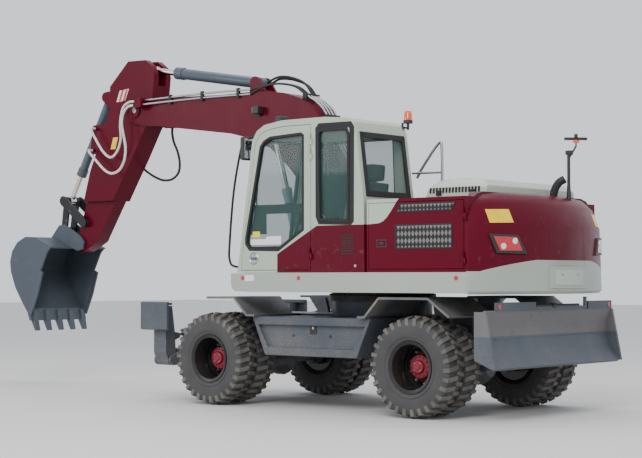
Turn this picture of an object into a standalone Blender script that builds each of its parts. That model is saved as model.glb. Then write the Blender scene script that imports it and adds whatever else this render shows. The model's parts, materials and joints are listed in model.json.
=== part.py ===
"""Wheeled excavator on twin tyres, as separate named pieces in metres, +Z up, +X towards the bucket.

Every place below is measured from a point on the ground midway between the two axles. The empty
named machine stands there, and all pieces hang from it, so that the world's origin is on the
ground in the middle of the whole machine's length.
"""

import math

import bmesh
import bpy
from mathutils import Matrix, Vector

# Driving dimensions
MACHINE_X = -1.63
WHEELBASE = 2.80
WIDTH = 2.50
GAP = 0.0003
RUNNING_GAP = 0.008
BEARING_GAP = 0.0006
PIN_SIDES = 12

TYRE_RADIUS = 0.525
TYRE_WIDTH = 0.27
TYRE_SIDES = 24
TWIN_PITCH = 0.31
OUTER_TYRE_Y = 1.10
RIM_RADIUS = 0.262
HUB_RADIUS = 0.10
KINGPIN_Y = 0.55

FRAME_HALF = 0.40
FRAME_BOTTOM = 0.66
FRAME_TOP = 1.02
BOX_HALF_TOP = 0.83
BOX_HALF_BOTTOM = 0.64
BOX_OUTER_Y = 1.13
FENDER_THICKNESS = 0.025

SLEW_X = -0.12
SLEW_RADIUS = 0.56
SLEW_Z = 1.165
SKIRT_BOTTOM = 1.27
SKIRT_TOP = 1.48
DECK_FRONT = 0.93
BAY_FRONT = -0.87
BAY_REAR = -2.11
DECK_TOP = 2.23
WALL = 0.03
TAIL_RADIUS = 2.42

CAB_INNER_Y = 0.36
CAB_OUTER_Y = 1.215
CAB_WALL = 0.05
DOOR_THICKNESS = 0.035
DOOR_GAP = 0.006
DOOR_REAR = -0.11

DOOR_KNUCKLES = (1.62, 2.06)
CAB_KNUCKLES = (1.68, 2.74, 2.90)
HINGE_OUT = 0.016
HOOD_FRONT = -1.30
HOOD_REAR = -2.06
HOOD_LEFT = 0.82
HOOD_RIGHT = -0.90

BOOM_FOOT = (0.03, 1.80)
BOOM_HALF = 0.19
BOOM_LIFT_PIN = (1.25, 3.05)
LIFT_BASE = (0.80, 1.44)
LIFT_Y = 0.262
ARM_CYLINDER_BASE = (1.72, 3.76)
ARM_PIVOT = (3.70, 3.55)
ARM_HALF = 0.15
ARM_CYLINDER_EYE = (3.52, 4.065)
BUCKET_CYLINDER_BASE = (4.36, 3.78)
BUCKET_PIN = (4.82, 1.87)
ROCKER_PIN = (4.72, 2.15)
LINK_PIN = (5.12, 2.45)
BUCKET_LINK_PIN = (5.17, 2.06)
BUCKET_WIDTH = 0.96

LIFT_TUBE = 0.055
LIFT_ROD = 0.035
ARM_TUBE = 0.068
ARM_ROD = 0.038
BUCKET_TUBE = 0.058
BUCKET_ROD = 0.034

BLADE_LOW_PIN = (-1.72, 0.50)
BLADE_HIGH_PIN = (-1.72, 0.74)
BLADE_LINK_REACH = (-0.426, 0.298)
BLADE_LINK_Y = 0.29
BLADE_CYLINDER_BASE = (-1.50, 0.98)
BLADE_CYLINDER_EYE = (-2.048, 0.729)
BLADE_TOP = 1.09

LEG_X = 2.262
LEG_HALF = 0.10
LEG_PIVOT = (1.05, 0.47)
LEG_EYE = (0.90, 0.75)
LEG_BASE = (0.12, 0.92)
PAD_HALF = 0.215
PAD_BOTTOM = 0.82
PAD_TOP = 1.15
LEG_PIN = 0.028
CYLINDER_PIN = 0.020
BORE_BOTTOM = 0.012
ROD_END_PLAY = 0.008
LIFT_RETRACT = 0.56
ARM_RETRACT = 0.30
BUCKET_RETRACT = 0.22
ARM_CYLINDER_PIN = 0.032
BOOM_PIN = 0.050
LIFT_PIN = 0.030
ROCKER_SHAFT = 0.034
BUCKET_SHAFT = 0.040
LINK_SHAFT = 0.028
ARM_TIP_HALF = 0.09
ARM_PIN = 0.050

# Routes of the free hoses at the elbow of boom and arm
HOSE_RADIUS = 0.016
SLEEVE_SHORT = [(3.62, 0.240, 3.660), (3.68, 0.240, 3.660), (3.77, 0.241, 3.655), (3.86, 0.245, 3.60),
                (3.90, 0.25, 3.48), (3.90, 0.26, 3.34), (3.89, 0.26, 3.20), (3.95, 0.26, 3.05),
                (4.08, 0.25, 2.97), (4.22, 0.25, 3.04), (4.36, 0.25, 3.20), (4.46, 0.245, 3.33),
                (4.485, 0.225, 3.365), (4.49, 0.19, 3.37), (4.49, 0.16, 3.37)]
SLEEVE_LONG = [(3.62, 0.285, 3.605), (3.67, 0.285, 3.605), (3.74, 0.286, 3.59), (3.81, 0.29, 3.52),
               (3.83, 0.30, 3.40), (3.80, 0.30, 3.25), (3.76, 0.30, 3.08), (3.78, 0.30, 2.92),
               (3.88, 0.29, 2.80), (4.03, 0.28, 2.76), (4.18, 0.27, 2.81), (4.34, 0.26, 2.93),
               (4.48, 0.25, 3.04), (4.535, 0.225, 3.085), (4.54, 0.19, 3.09), (4.54, 0.16, 3.09)]
BLACK_LOOP = [(3.46, -0.235, 3.34), (3.46, -0.235, 3.27), (3.43, -0.235, 3.16), (3.37, -0.24, 3.04),
              (3.33, -0.24, 2.90), (3.35, -0.24, 2.77), (3.46, -0.24, 2.69), (3.62, -0.24, 2.68),
              (3.78, -0.24, 2.73), (3.92, -0.24, 2.80), (3.985, -0.235, 2.845), (4.00, -0.215, 2.86),
              (4.00, -0.18, 2.86)]

# Outlines of the cab, its door and its side windows, in (x, z)
CAB_OUTLINE = [(0.945, SKIRT_TOP + GAP), (0.725, 2.93), (0.66, 3.03), (0.55, 3.09),
               (0.30, 3.125), (-0.30, 3.125), (-0.60, 3.10), (-0.70, 3.05), (-0.73, 2.95), (-0.83, 2.20),
               (-0.84, SKIRT_TOP + GAP)]
DOOR_OUTLINE = [(0.885, 1.51), (0.885, 1.56), (0.675, 2.90), (0.61, 2.985), (0.50, 3.03), (0.28, 3.055),
                (DOOR_REAR, 3.055), (DOOR_REAR, 1.51)]
DOOR_WINDOW = [(0.83, 1.79), (0.77, 1.72), (0.34, 1.71), (-0.02, 1.93), (-0.02, 2.95), (0.02, 2.98),
               (0.47, 2.96), (0.56, 2.92), (0.615, 2.86), (0.83, 1.86)]
SIDE_WINDOW = [(-0.22, 2.06), (-0.25, 2.02), (-0.64, 2.00), (-0.645, 2.92), (-0.61, 3.0), (-0.24, 3.0),
               (-0.20, 2.95)]

# Worked-out dimensions
HALF_WIDTH = WIDTH / 2
AXLE_X = WHEELBASE / 2
AXLE_Z = TYRE_RADIUS * math.cos(math.pi / TYRE_SIDES)
INNER_TYRE_Y = OUTER_TYRE_Y - TWIN_PITCH
HUB_FACE_Y = INNER_TYRE_Y - TYRE_WIDTH / 2 + 0.005
LEFT = 1
RIGHT = -1
SIDES = (("left", LEFT), ("right", RIGHT))

PAINTS = {
    "maroon": ((0.150, 0.001, 0.020), 0.35, 0.0),
    "pale_grey": ((0.48, 0.54, 0.46), 0.40, 0.0),
    "chassis_grey": ((0.060, 0.075, 0.095), 0.45, 0.0),
    "black_steel": ((0.015, 0.015, 0.017), 0.50, 0.2),
    "crimson": ((0.26, 0.008, 0.025), 0.45, 0.0),
    "rubber": ((0.035, 0.033, 0.030), 0.85, 0.0),
    "steel_blue": ((0.16, 0.21, 0.25), 0.35, 0.3),
    "chrome": ((0.75, 0.72, 0.68), 0.12, 1.0),
    "cloth": ((0.02, 0.02, 0.022), 0.90, 0.0),
    "sleeve": ((0.60, 0.59, 0.55), 0.80, 0.0),
    "engine": ((0.10, 0.10, 0.11), 0.60, 0.5),
}

machine = None


def clear_scene():
    for obj in list(bpy.data.objects):
        bpy.data.objects.remove(obj, do_unlink=True)


def paint(name):
    """The Principled finish of this name, made once."""
    if name in bpy.data.materials:
        return bpy.data.materials[name]
    colour, roughness, metallic = PAINTS[name]
    material = bpy.data.materials.new(name)
    material.use_nodes = True
    shader = material.node_tree.nodes["Principled BSDF"]
    shader.inputs["Base Color"].default_value = (*colour, 1.0)
    shader.inputs["Roughness"].default_value = roughness
    shader.inputs["Metallic"].default_value = metallic
    return material


# Shapes

def shape(bm):
    """Turns a closed bmesh into an object, faces outwards."""
    bmesh.ops.recalc_face_normals(bm, faces=bm.faces)
    mesh = bpy.data.meshes.new("shape")
    bm.to_mesh(mesh)
    bm.free()
    obj = bpy.data.objects.new("shape", mesh)
    bpy.context.scene.collection.objects.link(obj)
    return obj


def prism(outline, axis, low, high):
    """A flat outline extruded along an axis. The outline is (y, z), (x, z) or (x, y)."""
    place = {
        "x": lambda a, b: (low, a, b),
        "y": lambda a, b: (a, low, b),
        "z": lambda a, b: (a, b, low),
    }[axis]
    bm = bmesh.new()
    face = bm.faces.new([bm.verts.new(place(a, b)) for a, b in outline])
    grown = bmesh.ops.extrude_face_region(bm, geom=[face])["geom"]
    step = Vector(place(0, 0)) * 0
    step["xyz".index(axis)] = high - low
    verts = [v for v in grown if isinstance(v, bmesh.types.BMVert)]
    bmesh.ops.translate(bm, verts=verts, vec=step)
    return shape(bm)


def box(x0, x1, y0, y1, z0, z1):
    return prism([(x0, y0), (x1, y0), (x1, y1), (x0, y1)], "z", z0, z1)


def bar(start, end, radius, sides=PIN_SIDES, turn=0.0):
    """A round bar between two points."""
    start = Vector(start)
    end = Vector(end)
    along = end - start
    frame = along.to_track_quat("Z", "Y").to_matrix().to_4x4() @ Matrix.Rotation(turn, 4, "Z")
    bm = bmesh.new()
    bmesh.ops.create_cone(
        bm, cap_ends=True, segments=sides, radius1=radius, radius2=radius, depth=along.length,
        matrix=Matrix.Translation((start + end) / 2) @ frame,
    )
    return shape(bm)


def pin(point, y0, y1, radius):
    """A round bar across the machine, through an (x, z) point."""
    return bar((point[0], y0, point[1]), (point[0], y1, point[1]), radius)


def bore(start, end, radius):
    """A cutter for a hole whose flats clear a turning pin of this radius by the bearing gap."""
    half_step = math.pi / PIN_SIDES
    return bar(start, end, (radius + BEARING_GAP) / math.cos(half_step), PIN_SIDES, half_step)


def cross_bore(point, y0, y1, radius):
    """A bore across the machine, through an (x, z) point."""
    return bore((point[0], y0, point[1]), (point[0], y1, point[1]), radius)


def turned(profile, centre, axis, sides, turn=0.0):
    """A profile of (radius, along) points spun about an axis through the centre."""
    closed = all(radius > 0 for radius, _ in profile)
    bm = bmesh.new()
    verts = [bm.verts.new((radius, 0, along)) for radius, along in profile]
    pairs = list(zip(verts, verts[1:]))
    if closed:
        pairs.append((verts[-1], verts[0]))
    edges = [bm.edges.new(pair) for pair in pairs]
    bmesh.ops.rotate(bm, verts=verts, cent=(0, 0, 0), matrix=Matrix.Rotation(turn, 3, "Z"))
    bmesh.ops.spin(
        bm, geom=verts + edges, cent=(0, 0, 0), axis=(0, 0, 1), angle=math.tau, steps=sides,
        use_merge=True,
    )
    bmesh.ops.remove_doubles(bm, verts=bm.verts, dist=0.00001)
    bmesh.ops.dissolve_degenerate(bm, edges=bm.edges, dist=0.00001)
    frame = Vector(axis).to_track_quat("Z", "Y").to_matrix().to_4x4()
    bmesh.ops.transform(bm, matrix=Matrix.Translation(centre) @ frame, verts=bm.verts)
    return shape(bm)


def swept(points, radius, resolution=2):
    """A round tube along points, with closed ends."""
    data = bpy.data.curves.new("tube", "CURVE")
    data.dimensions = "3D"
    data.bevel_depth = radius
    data.bevel_resolution = resolution
    data.use_fill_caps = True
    line = data.splines.new("POLY")
    line.points.add(len(points) - 1)
    for place, point in zip(line.points, points):
        place.co = (*point, 1.0)
    obj = bpy.data.objects.new("tube", data)
    bpy.context.scene.collection.objects.link(obj)
    return obj


def combine(operation, base, others):
    """Joins or cuts shapes with the exact solver, and keeps only the result."""
    for other in others:
        step = base.modifiers.new("combine", "BOOLEAN")
        step.operation = operation
        step.solver = "EXACT"
        step.object = other
    graph = bpy.context.evaluated_depsgraph_get()
    mesh = bpy.data.meshes.new_from_object(base.evaluated_get(graph))
    base.modifiers.clear()
    base.data = mesh
    for other in others:
        bpy.data.objects.remove(other, do_unlink=True)
    return base


def join(*shapes):
    return combine("UNION", shapes[0], shapes[1:])


def cut(base, *tools):
    return combine("DIFFERENCE", base, tools)


def mirrored(obj):
    """The same shape on the other side of the machine."""
    bm = bmesh.new()
    bm.from_mesh(obj.data)
    bmesh.ops.scale(bm, verts=bm.verts, vec=(1, -1, 1))
    bpy.data.objects.remove(obj, do_unlink=True)
    return shape(bm)


def on_side(side, obj):
    return obj if side == LEFT else mirrored(obj)


def keep(name, obj, colour, pivot=(0, 0, 0)):
    """Names a finished piece, paints it, and puts its origin on its pivot."""
    obj.name = name
    obj.data.name = name
    obj.data.materials.clear()
    obj.data.materials.append(paint(colour))
    if obj.type == "MESH":
        obj.data.transform(Matrix.Translation(-Vector(pivot)))
        obj.data.shade_smooth()
        obj.data.set_sharp_from_angle(angle=math.radians(35))
        obj.location = pivot
    obj.parent = machine
    return obj


# Outlines

def arc(centre, radius, start, end, steps):
    """Points on a circle, angles in degrees."""
    angles = [math.radians(start + (end - start) * i / steps) for i in range(steps + 1)]
    return [(centre[0] + radius * math.cos(a), centre[1] + radius * math.sin(a)) for a in angles]


def band(line, thickness):
    """A closed outline that follows a line of points at one thickness, on its left."""
    points = [Vector(point) for point in line]
    other = []
    for i, point in enumerate(points):
        before = (point - points[i - 1]).normalized() if i else None
        after = (points[i + 1] - point).normalized() if i + 1 < len(points) else None
        first = before or after
        second = after or before
        normal = Vector((-first.y - second.y, first.x + second.x)).normalized()
        lean = normal.dot(Vector((-first.y, first.x)))
        other.append(point + normal * thickness / lean)
    return [tuple(p) for p in points] + [tuple(p) for p in reversed(other)]


def hull_of_circles(first, r1, second, r2, steps=5):
    """The outline of a lug or a link: two circles and the straight lines between them."""
    first = Vector(first)
    second = Vector(second)
    way = second - first
    heading = math.degrees(math.atan2(way.y, way.x))
    lean = math.degrees(math.acos((r1 - r2) / way.length))
    start = arc(first, r1, heading + lean, heading + 360 - lean, steps)
    end = arc(second, r2, heading - lean, heading + lean, steps)
    return start + end


def towards(start, end, distance):
    """The (x, z) point at this distance from start on the way to end."""
    way = (Vector(end) - Vector(start)).normalized()
    point = Vector(start) + way * distance
    return (point.x, point.y)


def smooth(points, count):
    """Reads evenly spaced places from a smooth curve through the points."""
    knots = [Vector(p) for p in points]
    knots = [knots[0] * 2 - knots[1]] + knots + [knots[-1] * 2 - knots[-2]]
    spans = len(points) - 1
    fine = []
    for i in range(spans):
        a, b, c, d = knots[i:i + 4]
        for j in range(20):
            t = j / 20
            fine.append(0.5 * (2 * b + (c - a) * t + (2 * a - 5 * b + 4 * c - d) * t * t
                               + (3 * b - a - 3 * c + d) * t ** 3))
    fine.append(knots[-2])
    lengths = [0.0]
    for p, q in zip(fine, fine[1:]):
        lengths.append(lengths[-1] + (q - p).length)
    result = []
    k = 0
    for i in range(count):
        goal = lengths[-1] * i / (count - 1)
        while k < len(fine) - 2 and lengths[k + 1] < goal:
            k += 1
        share = (goal - lengths[k]) / (lengths[k + 1] - lengths[k])
        result.append(fine[k].lerp(fine[k + 1], min(1.0, share)))
    return result


# Undercarriage

def chassis_frame():
    main = prism(
        [(-1.60, FRAME_BOTTOM), (2.16, FRAME_BOTTOM), (2.16, 0.94), (1.90, FRAME_TOP),
         (-1.60, FRAME_TOP)],
        "y", -FRAME_HALF, FRAME_HALF)
    belly = prism([(-0.85, 0.67), (-0.70, 0.56), (0.70, 0.56), (0.85, 0.67)], "y", -0.34, 0.34)
    pedestal = bar((SLEW_X, 0, 1.003), (SLEW_X, 0, SLEW_Z), SLEW_RADIUS, 24)
    seats = [box(x - 0.075, x + 0.075, side * 0.25 - 0.045, side * 0.25 + 0.045, AXLE_Z + 0.10 + GAP, 0.70)
             for x in (-AXLE_X, AXLE_X) for side in (LEFT, RIGHT)]
    arms = [box(x - 0.06, x + 0.06, -0.83, 0.83, 0.86, 0.97) for x in (-0.50, 0.50)]
    beam = box(LEG_X - 0.12, LEG_X + 0.12, -0.93, 0.93, 0.41, 0.60)
    tower = box(LEG_X - 0.11, LEG_X + 0.11, -0.30, 0.30, 0.55, 0.79)
    frame = join(main, belly, pedestal, *seats, *arms, beam, tower)
    plates = []
    for side in (LEFT, RIGHT):
        ear = hull_of_circles((side * LEG_PIVOT[0], LEG_PIVOT[1]), 0.06, (side * 0.86, 0.50), 0.085)
        for x in (LEG_X - LEG_HALF - 0.033, LEG_X + LEG_HALF + 0.008):
            plates.append(prism(ear, "x", x, x + 0.025))
        lug = hull_of_circles((side * LEG_BASE[0], LEG_BASE[1]), 0.045, (side * 0.16, 0.80), 0.06)
        for x in (LEG_X - 0.085, LEG_X + 0.060):
            plates.append(prism(lug, "x", x, x + 0.025))
    notch = box(-1.70, -1.36, -0.10, 0.10, 0.72, 1.10)
    frame = cut(join(frame, *plates), notch)
    rear = []
    for side in (LEFT, RIGHT):
        pivot = side * LEG_PIVOT[0]
        ends = (LEG_X - LEG_HALF - 0.02, LEG_X + LEG_HALF + 0.02)
        rear.append(bar((ends[0], pivot, LEG_PIVOT[1]), (ends[1], pivot, LEG_PIVOT[1]), LEG_PIN))
        base = side * LEG_BASE[0]
        rear.append(bar((LEG_X - 0.07, base, LEG_BASE[1]), (LEG_X + 0.07, base, LEG_BASE[1]), CYLINDER_PIN))
        rear.extend(blade_pins(side, BLADE_LOW_PIN, BLADE_HIGH_PIN))
        y = side * (BLADE_LINK_Y + 0.055)
        outline = [(-1.50, 0.70), (-1.50, 0.90), (-1.72, 0.80), (-1.78, 0.74), (-1.78, 0.48),
                   (-1.72, 0.44), (-1.60, 0.50)]
        rear.append(prism(outline, "y", min(y, y + side * 0.03), max(y, y + side * 0.03)))
    for y in (-0.085, 0.060):
        rear.append(prism([(-1.50, 0.85), (-1.42, 0.85), (-1.42, 1.04), (-1.50, 1.04)],
                          "y", y - 0.04 * (y < 0), y + 0.025 + 0.02 * (y > 0)))
    rear.append(pin(BLADE_CYLINDER_BASE, -0.08, 0.08, CYLINDER_PIN))
    keep("chassis_frame", join(frame, *rear), "chassis_grey")


def axle(x, half):
    """The beam along y and the differential's bulge of one axle."""
    beam = prism([(-half, AXLE_Z - 0.09), (half, AXLE_Z - 0.09), (half, AXLE_Z + 0.07),
                  (0.30, AXLE_Z + 0.10), (-0.30, AXLE_Z + 0.10), (-half, AXLE_Z + 0.07)],
                 "x", x - 0.08, x + 0.08)
    bulge = turned([(0, -0.20), (0.10, -0.17), (0.185, -0.06), (0.185, 0.06), (0.10, 0.17), (0, 0.20)],
                   (x, 0, AXLE_Z - 0.05), (1, 0, 0), 12)
    return beam, bulge


def front_axle():
    beam, bulge = axle(AXLE_X, KINGPIN_Y - 0.04)
    eyes = [bar((AXLE_X, side * KINGPIN_Y, AXLE_Z - 0.10), (AXLE_X, side * KINGPIN_Y, AXLE_Z + 0.08), 0.055)
            for side in (LEFT, RIGHT)]
    keep("front_axle", join(beam, bulge, *eyes), "black_steel")


def rear_axle():
    beam, bulge = axle(-AXLE_X, 0.56)
    ends = [bar((-AXLE_X, side * 0.50, AXLE_Z), (-AXLE_X, side * (HUB_FACE_Y - BEARING_GAP), AXLE_Z), 0.13)
            for side in (LEFT, RIGHT)]
    keep("rear_axle", join(beam, bulge, *ends), "black_steel")


def knuckle(name, side):
    """A C round the axle's eye, with the spindle plate outboard."""
    pivot = (AXLE_X, KINGPIN_Y, AXLE_Z)
    jaw = arc((AXLE_X, KINGPIN_Y), 0.05, 180, 360, 8) + [(AXLE_X + 0.06, 0.64), (AXLE_X - 0.06, 0.64)]
    top = prism(jaw, "z", AXLE_Z + 0.08 + BEARING_GAP, AXLE_Z + 0.11)
    bottom = prism(jaw, "z", AXLE_Z - 0.13, AXLE_Z - 0.10 - BEARING_GAP)
    plate = bar((AXLE_X, 0.614, AXLE_Z - 0.01), (AXLE_X, HUB_FACE_Y - BEARING_GAP, AXLE_Z - 0.01), 0.135)
    obj = on_side(side, join(top, bottom, plate))
    keep(name, obj, "black_steel", (pivot[0], side * pivot[1], pivot[2]))


def tyre(name, x, y):
    half = TYRE_WIDTH / 2
    profile = [(RIM_RADIUS + GAP, -half + 0.03), (0.42, -half), (TYRE_RADIUS, -half + 0.04),
               (TYRE_RADIUS, half - 0.04), (0.42, half), (RIM_RADIUS + GAP, half - 0.03)]
    turn = math.pi / TYRE_SIDES
    keep(name, turned(profile, (x, y, AXLE_Z), (0, 1, 0), TYRE_SIDES, turn), "rubber", (x, y, AXLE_Z))


def twin_rim(name, x, side):
    """Both rims of a twin wheel with the disc between them and the planetary hub."""
    tip = OUTER_TYRE_Y + 0.03
    disc = (INNER_TYRE_Y + OUTER_TYRE_Y) / 2
    edge = TYRE_WIDTH / 2 - 0.02
    inside = RIM_RADIUS - 0.018
    profile = [(0, tip), (HUB_RADIUS, tip), (HUB_RADIUS, disc + 0.03), (inside, disc + 0.03),
               (inside, OUTER_TYRE_Y + edge), (RIM_RADIUS, OUTER_TYRE_Y + edge),
               (RIM_RADIUS, INNER_TYRE_Y - edge), (inside, INNER_TYRE_Y - edge), (inside, disc - 0.02),
               (0.13, disc - 0.03), (0.13, HUB_FACE_Y), (0, HUB_FACE_Y)]
    profile = [(radius, side * along) for radius, along in profile]
    turn = math.pi / TYRE_SIDES
    rim = turned(profile, (x, 0, AXLE_Z), (0, 1, 0), TYRE_SIDES, turn)
    keep(name, rim, "crimson", (x, side * disc, AXLE_Z))


def wheels():
    for end, x in (("front", AXLE_X), ("rear", -AXLE_X)):
        for word, side in SIDES:
            tyre(f"tyre_{end}_{word}_outer", x, side * OUTER_TYRE_Y)
            tyre(f"tyre_{end}_{word}_inner", x, side * INNER_TYRE_Y)
            twin_rim(f"rim_{end}_{word}", x, side)


def side_box(name, side):
    """The tool box that hangs between the wheels, with a sunk panel in its face."""
    slope = (BOX_HALF_TOP - BOX_HALF_BOTTOM) / 0.42
    outline = [(-BOX_HALF_TOP, 1.00), (-BOX_HALF_BOTTOM, 0.58), (BOX_HALF_BOTTOM, 0.58),
               (BOX_HALF_TOP, 1.00)]
    inner = [(-BOX_HALF_BOTTOM - 0.30 * slope + 0.03, 0.91), (-BOX_HALF_BOTTOM + 0.04, 0.67),
             (BOX_HALF_BOTTOM - 0.04, 0.67), (BOX_HALF_BOTTOM + 0.30 * slope - 0.03, 0.91)]
    body = prism(outline, "y", FRAME_HALF + GAP, BOX_OUTER_Y)
    sunk = prism(inner, "y", BOX_OUTER_Y - 0.05, BOX_OUTER_Y + 0.05)
    slots = [box(x - 0.062, x + 0.062, FRAME_HALF - 0.05, 0.833, 0.858, 0.972)
             for x in (-0.50, 0.50)]
    keep(name, on_side(side, cut(body, sunk, *slots)), "chassis_grey")


def front_fender(name, side):
    """A flat tread plate over the twin tyres that slopes down to the tool box."""
    line = [(0.74, 1.0003), (0.86, 1.0003), (1.05, 1.19), (1.46, 1.19)]
    plate = prism(band(line, FENDER_THICKNESS), "y", FRAME_HALF + 0.02, 1.20)
    rib = prism([(0.90, 1.02), (1.06, 1.195), (1.14, 1.195), (1.14, 1.16), (0.93, 1.0003), (0.90, 1.0003)],
                "y", 0.43, 0.46)
    bracket = prism([(1.00, 1.0), (1.14, 1.0), (1.30, 1.195), (1.05, 1.195)], "y", FRAME_HALF + GAP, 0.45)
    keep(name, on_side(side, join(plate, rib, bracket)), "chassis_grey")


def rear_fender(name, side):
    line = [(-0.70, 1.0003), (-0.80, 1.0003), (-0.99, 1.20), (-1.60, 1.20), (-1.86, 1.02)]
    plate = prism(band(list(reversed(line)), FENDER_THICKNESS), "y", FRAME_HALF + 0.02, 1.20)
    bracket = prism([(-1.16, 1.0), (-1.36, 1.0), (-1.40, 1.205), (-1.12, 1.205)], "y", FRAME_HALF + GAP, 0.45)
    keep(name, on_side(side, join(plate, bracket)), "chassis_grey")


# Front outriggers

def outrigger_leg(name, side):
    """The folded leg with its foot pad, which faces outwards when raised."""
    y, z = LEG_PIVOT
    outline = [(0.996, z), (0.985, 0.60), (1.00, 0.80), (1.045, 1.10), (1.145, 1.10), (1.145, 0.56),
               (1.104, z)]
    leg = prism(outline, "x", LEG_X - LEG_HALF, LEG_X + LEG_HALF)
    hub = bar((LEG_X - LEG_HALF + 0.003, y, z), (LEG_X + LEG_HALF - 0.003, y, z), 0.06)
    pad = prism([(1.215, PAD_BOTTOM), (1.25, PAD_BOTTOM + 0.012), (1.25, PAD_TOP - 0.012), (1.215, PAD_TOP)],
                "x", LEG_X - PAD_HALF, LEG_X + PAD_HALF)
    lip = box(LEG_X - PAD_HALF + 0.01, LEG_X + PAD_HALF - 0.01, 1.15, 1.22, PAD_TOP - 0.04, PAD_TOP - 0.012)
    webs = [box(x - 0.012, x + 0.012, 1.13, 1.22, 0.90, 1.10) for x in (LEG_X - 0.075, LEG_X + 0.075)]
    lugs = []
    for x in (LEG_X - 0.055, LEG_X + 0.035):
        lugs.append(prism(hull_of_circles(LEG_EYE, 0.035, (1.03, 0.74), 0.06), "x", x, x + 0.02))
    hole = bore((LEG_X - 0.2, y, z), (LEG_X + 0.2, y, z), LEG_PIN)
    obj = cut(join(leg, hub, pad, lip, *webs, *lugs), hole)
    keep(name, on_side(side, obj), "chassis_grey", (LEG_X, side * y, z))


def cylinder_along(base, eye, tube_length, tube, rod, tube_eye, rod_eye, lug_half, retract, shaft):
    """Two shapes: a cylinder's tube from its base pin, and its rod up to its eye, in (x, z).

    The rod's inner end stands a retract travel away from the bottom of the tube's bore."""
    bore_start = tube_eye + BORE_BOTTOM
    mouth = towards(base, eye, tube_length)
    collar = towards(base, eye, tube_length - 0.07)
    lip = towards(base, eye, tube_length + 0.006)
    start = towards(base, eye, tube_eye * 0.8)
    well_end = towards(base, eye, bore_start)
    barrel = bar((start[0], 0, start[1]), (mouth[0], 0, mouth[1]), tube)
    ring = bar((collar[0], 0, collar[1]), (lip[0], 0, lip[1]), tube * 1.13)
    foot = pin(base, -lug_half, lug_half, tube_eye)
    well = bar((well_end[0], 0, well_end[1]), towards3(base, eye, tube_length + 0.05), rod + BEARING_GAP)
    tools = [well]
    if shaft:
        tools.append(cross_bore(base, -0.3, 0.3, shaft))
    body = cut(join(barrel, ring, foot), *tools)
    inside = towards(base, eye, bore_start + retract + ROD_END_PLAY)
    neck = towards(base, eye, (Vector(eye) - Vector(base)).length - rod_eye * 0.6)
    stem = bar((inside[0], 0, inside[1]), (neck[0], 0, neck[1]), rod)
    end = pin(eye, -lug_half, lug_half, rod_eye)
    return body, join(stem, end)


def towards3(start, end, distance):
    point = towards(start, end, distance)
    return (point[0], 0, point[1])


def moved(obj, step):
    obj.data.transform(Matrix.Translation(step))
    return obj


def across(obj):
    """Turns a shape made in (x, z) so that its x runs along the machine's y."""
    obj.data.transform(Matrix.Rotation(math.pi / 2, 4, "Z"))
    return obj


def outrigger_cylinder(word, side):
    body, rod = cylinder_along(LEG_BASE, LEG_EYE, 0.66, 0.042, 0.026, 0.045, 0.036, 0.028, 0.0,
                               CYLINDER_PIN)
    for name, obj, pivot, colour in (
        (f"outrigger_cylinder_{word}", body, LEG_BASE, "chassis_grey"),
        (f"outrigger_rod_{word}", rod, LEG_EYE, "chrome"),
    ):
        obj = moved(across(obj), (LEG_X, 0, 0))
        keep(name, on_side(side, obj), colour, (LEG_X, side * pivot[0], pivot[1]))


# Dozer blade on parallel links

def blade_pin(base):
    return (base[0] + BLADE_LINK_REACH[0], base[1] + BLADE_LINK_REACH[1])


def blade_pins(side, *places):
    """Stub pins that stand inwards from a pair of side plates into the links."""
    inner = side * (BLADE_LINK_Y - 0.03)
    outer = side * (BLADE_LINK_Y + 0.065)
    return [pin(place, min(inner, outer), max(inner, outer), CYLINDER_PIN) for place in places]


def blade():
    face = [(-2.32, BLADE_TOP), (-2.275, 0.96), (-2.262, 0.82), (-2.30, 0.68), (-2.42, 0.54)]
    board = prism(band(face, 0.035), "y", -HALF_WIDTH + 0.03, HALF_WIDTH - 0.03)
    ends = [prism([(-2.33, BLADE_TOP), (-2.20, BLADE_TOP), (-2.20, 0.62), (-2.40, 0.535), (-2.44, 0.535)],
                  "y", y, y + 0.03) for y in (-HALF_WIDTH, HALF_WIDTH - 0.03)]
    beams = [box(-2.27, -2.195, -1.0, 1.0, z, z + 0.10) for z in (0.72, 0.97)]
    ears = []
    for side in (LEFT, RIGHT):
        ears.extend(blade_pins(side, blade_pin(BLADE_LOW_PIN), blade_pin(BLADE_HIGH_PIN)))
        y = side * (BLADE_LINK_Y + 0.055)
        outline = [(-2.24, 0.70), (-2.14, 0.74), (-2.10, 0.80), (-2.10, 1.04), (-2.14, 1.08), (-2.24, 1.08)]
        ears.append(prism(outline, "y", min(y, y + side * 0.03), max(y, y + side * 0.03)))
    keep("blade", join(board, *ends, *beams, *ears), "chassis_grey", (*spread(blade_pin(BLADE_LOW_PIN)),))


def spread(point):
    return (point[0], 0, point[1])


def blade_link(name, base, cross_share):
    tip = blade_pin(base)
    bars = [prism(hull_of_circles(base, 0.042, tip, 0.042), "y", side * BLADE_LINK_Y - 0.042,
                  side * BLADE_LINK_Y + 0.042) for side in (LEFT, RIGHT)]
    middle = (base[0] + (tip[0] - base[0]) * cross_share, base[1] + (tip[1] - base[1]) * cross_share)
    tie = pin(middle, -BLADE_LINK_Y, BLADE_LINK_Y, 0.026)
    parts = bars + [tie]
    if name == "blade_lower_link":
        for y in (-0.065, 0.040):
            parts.append(prism(hull_of_circles(BLADE_CYLINDER_EYE, 0.035, middle, 0.045), "y", y, y + 0.025))
    bores = [cross_bore(place, y - 0.1, y + 0.1, CYLINDER_PIN)
             for place in (base, tip) for y in (-BLADE_LINK_Y - 0.01, BLADE_LINK_Y + 0.01)]
    keep(name, cut(join(*parts), *bores), "chassis_grey", spread(base))


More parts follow.
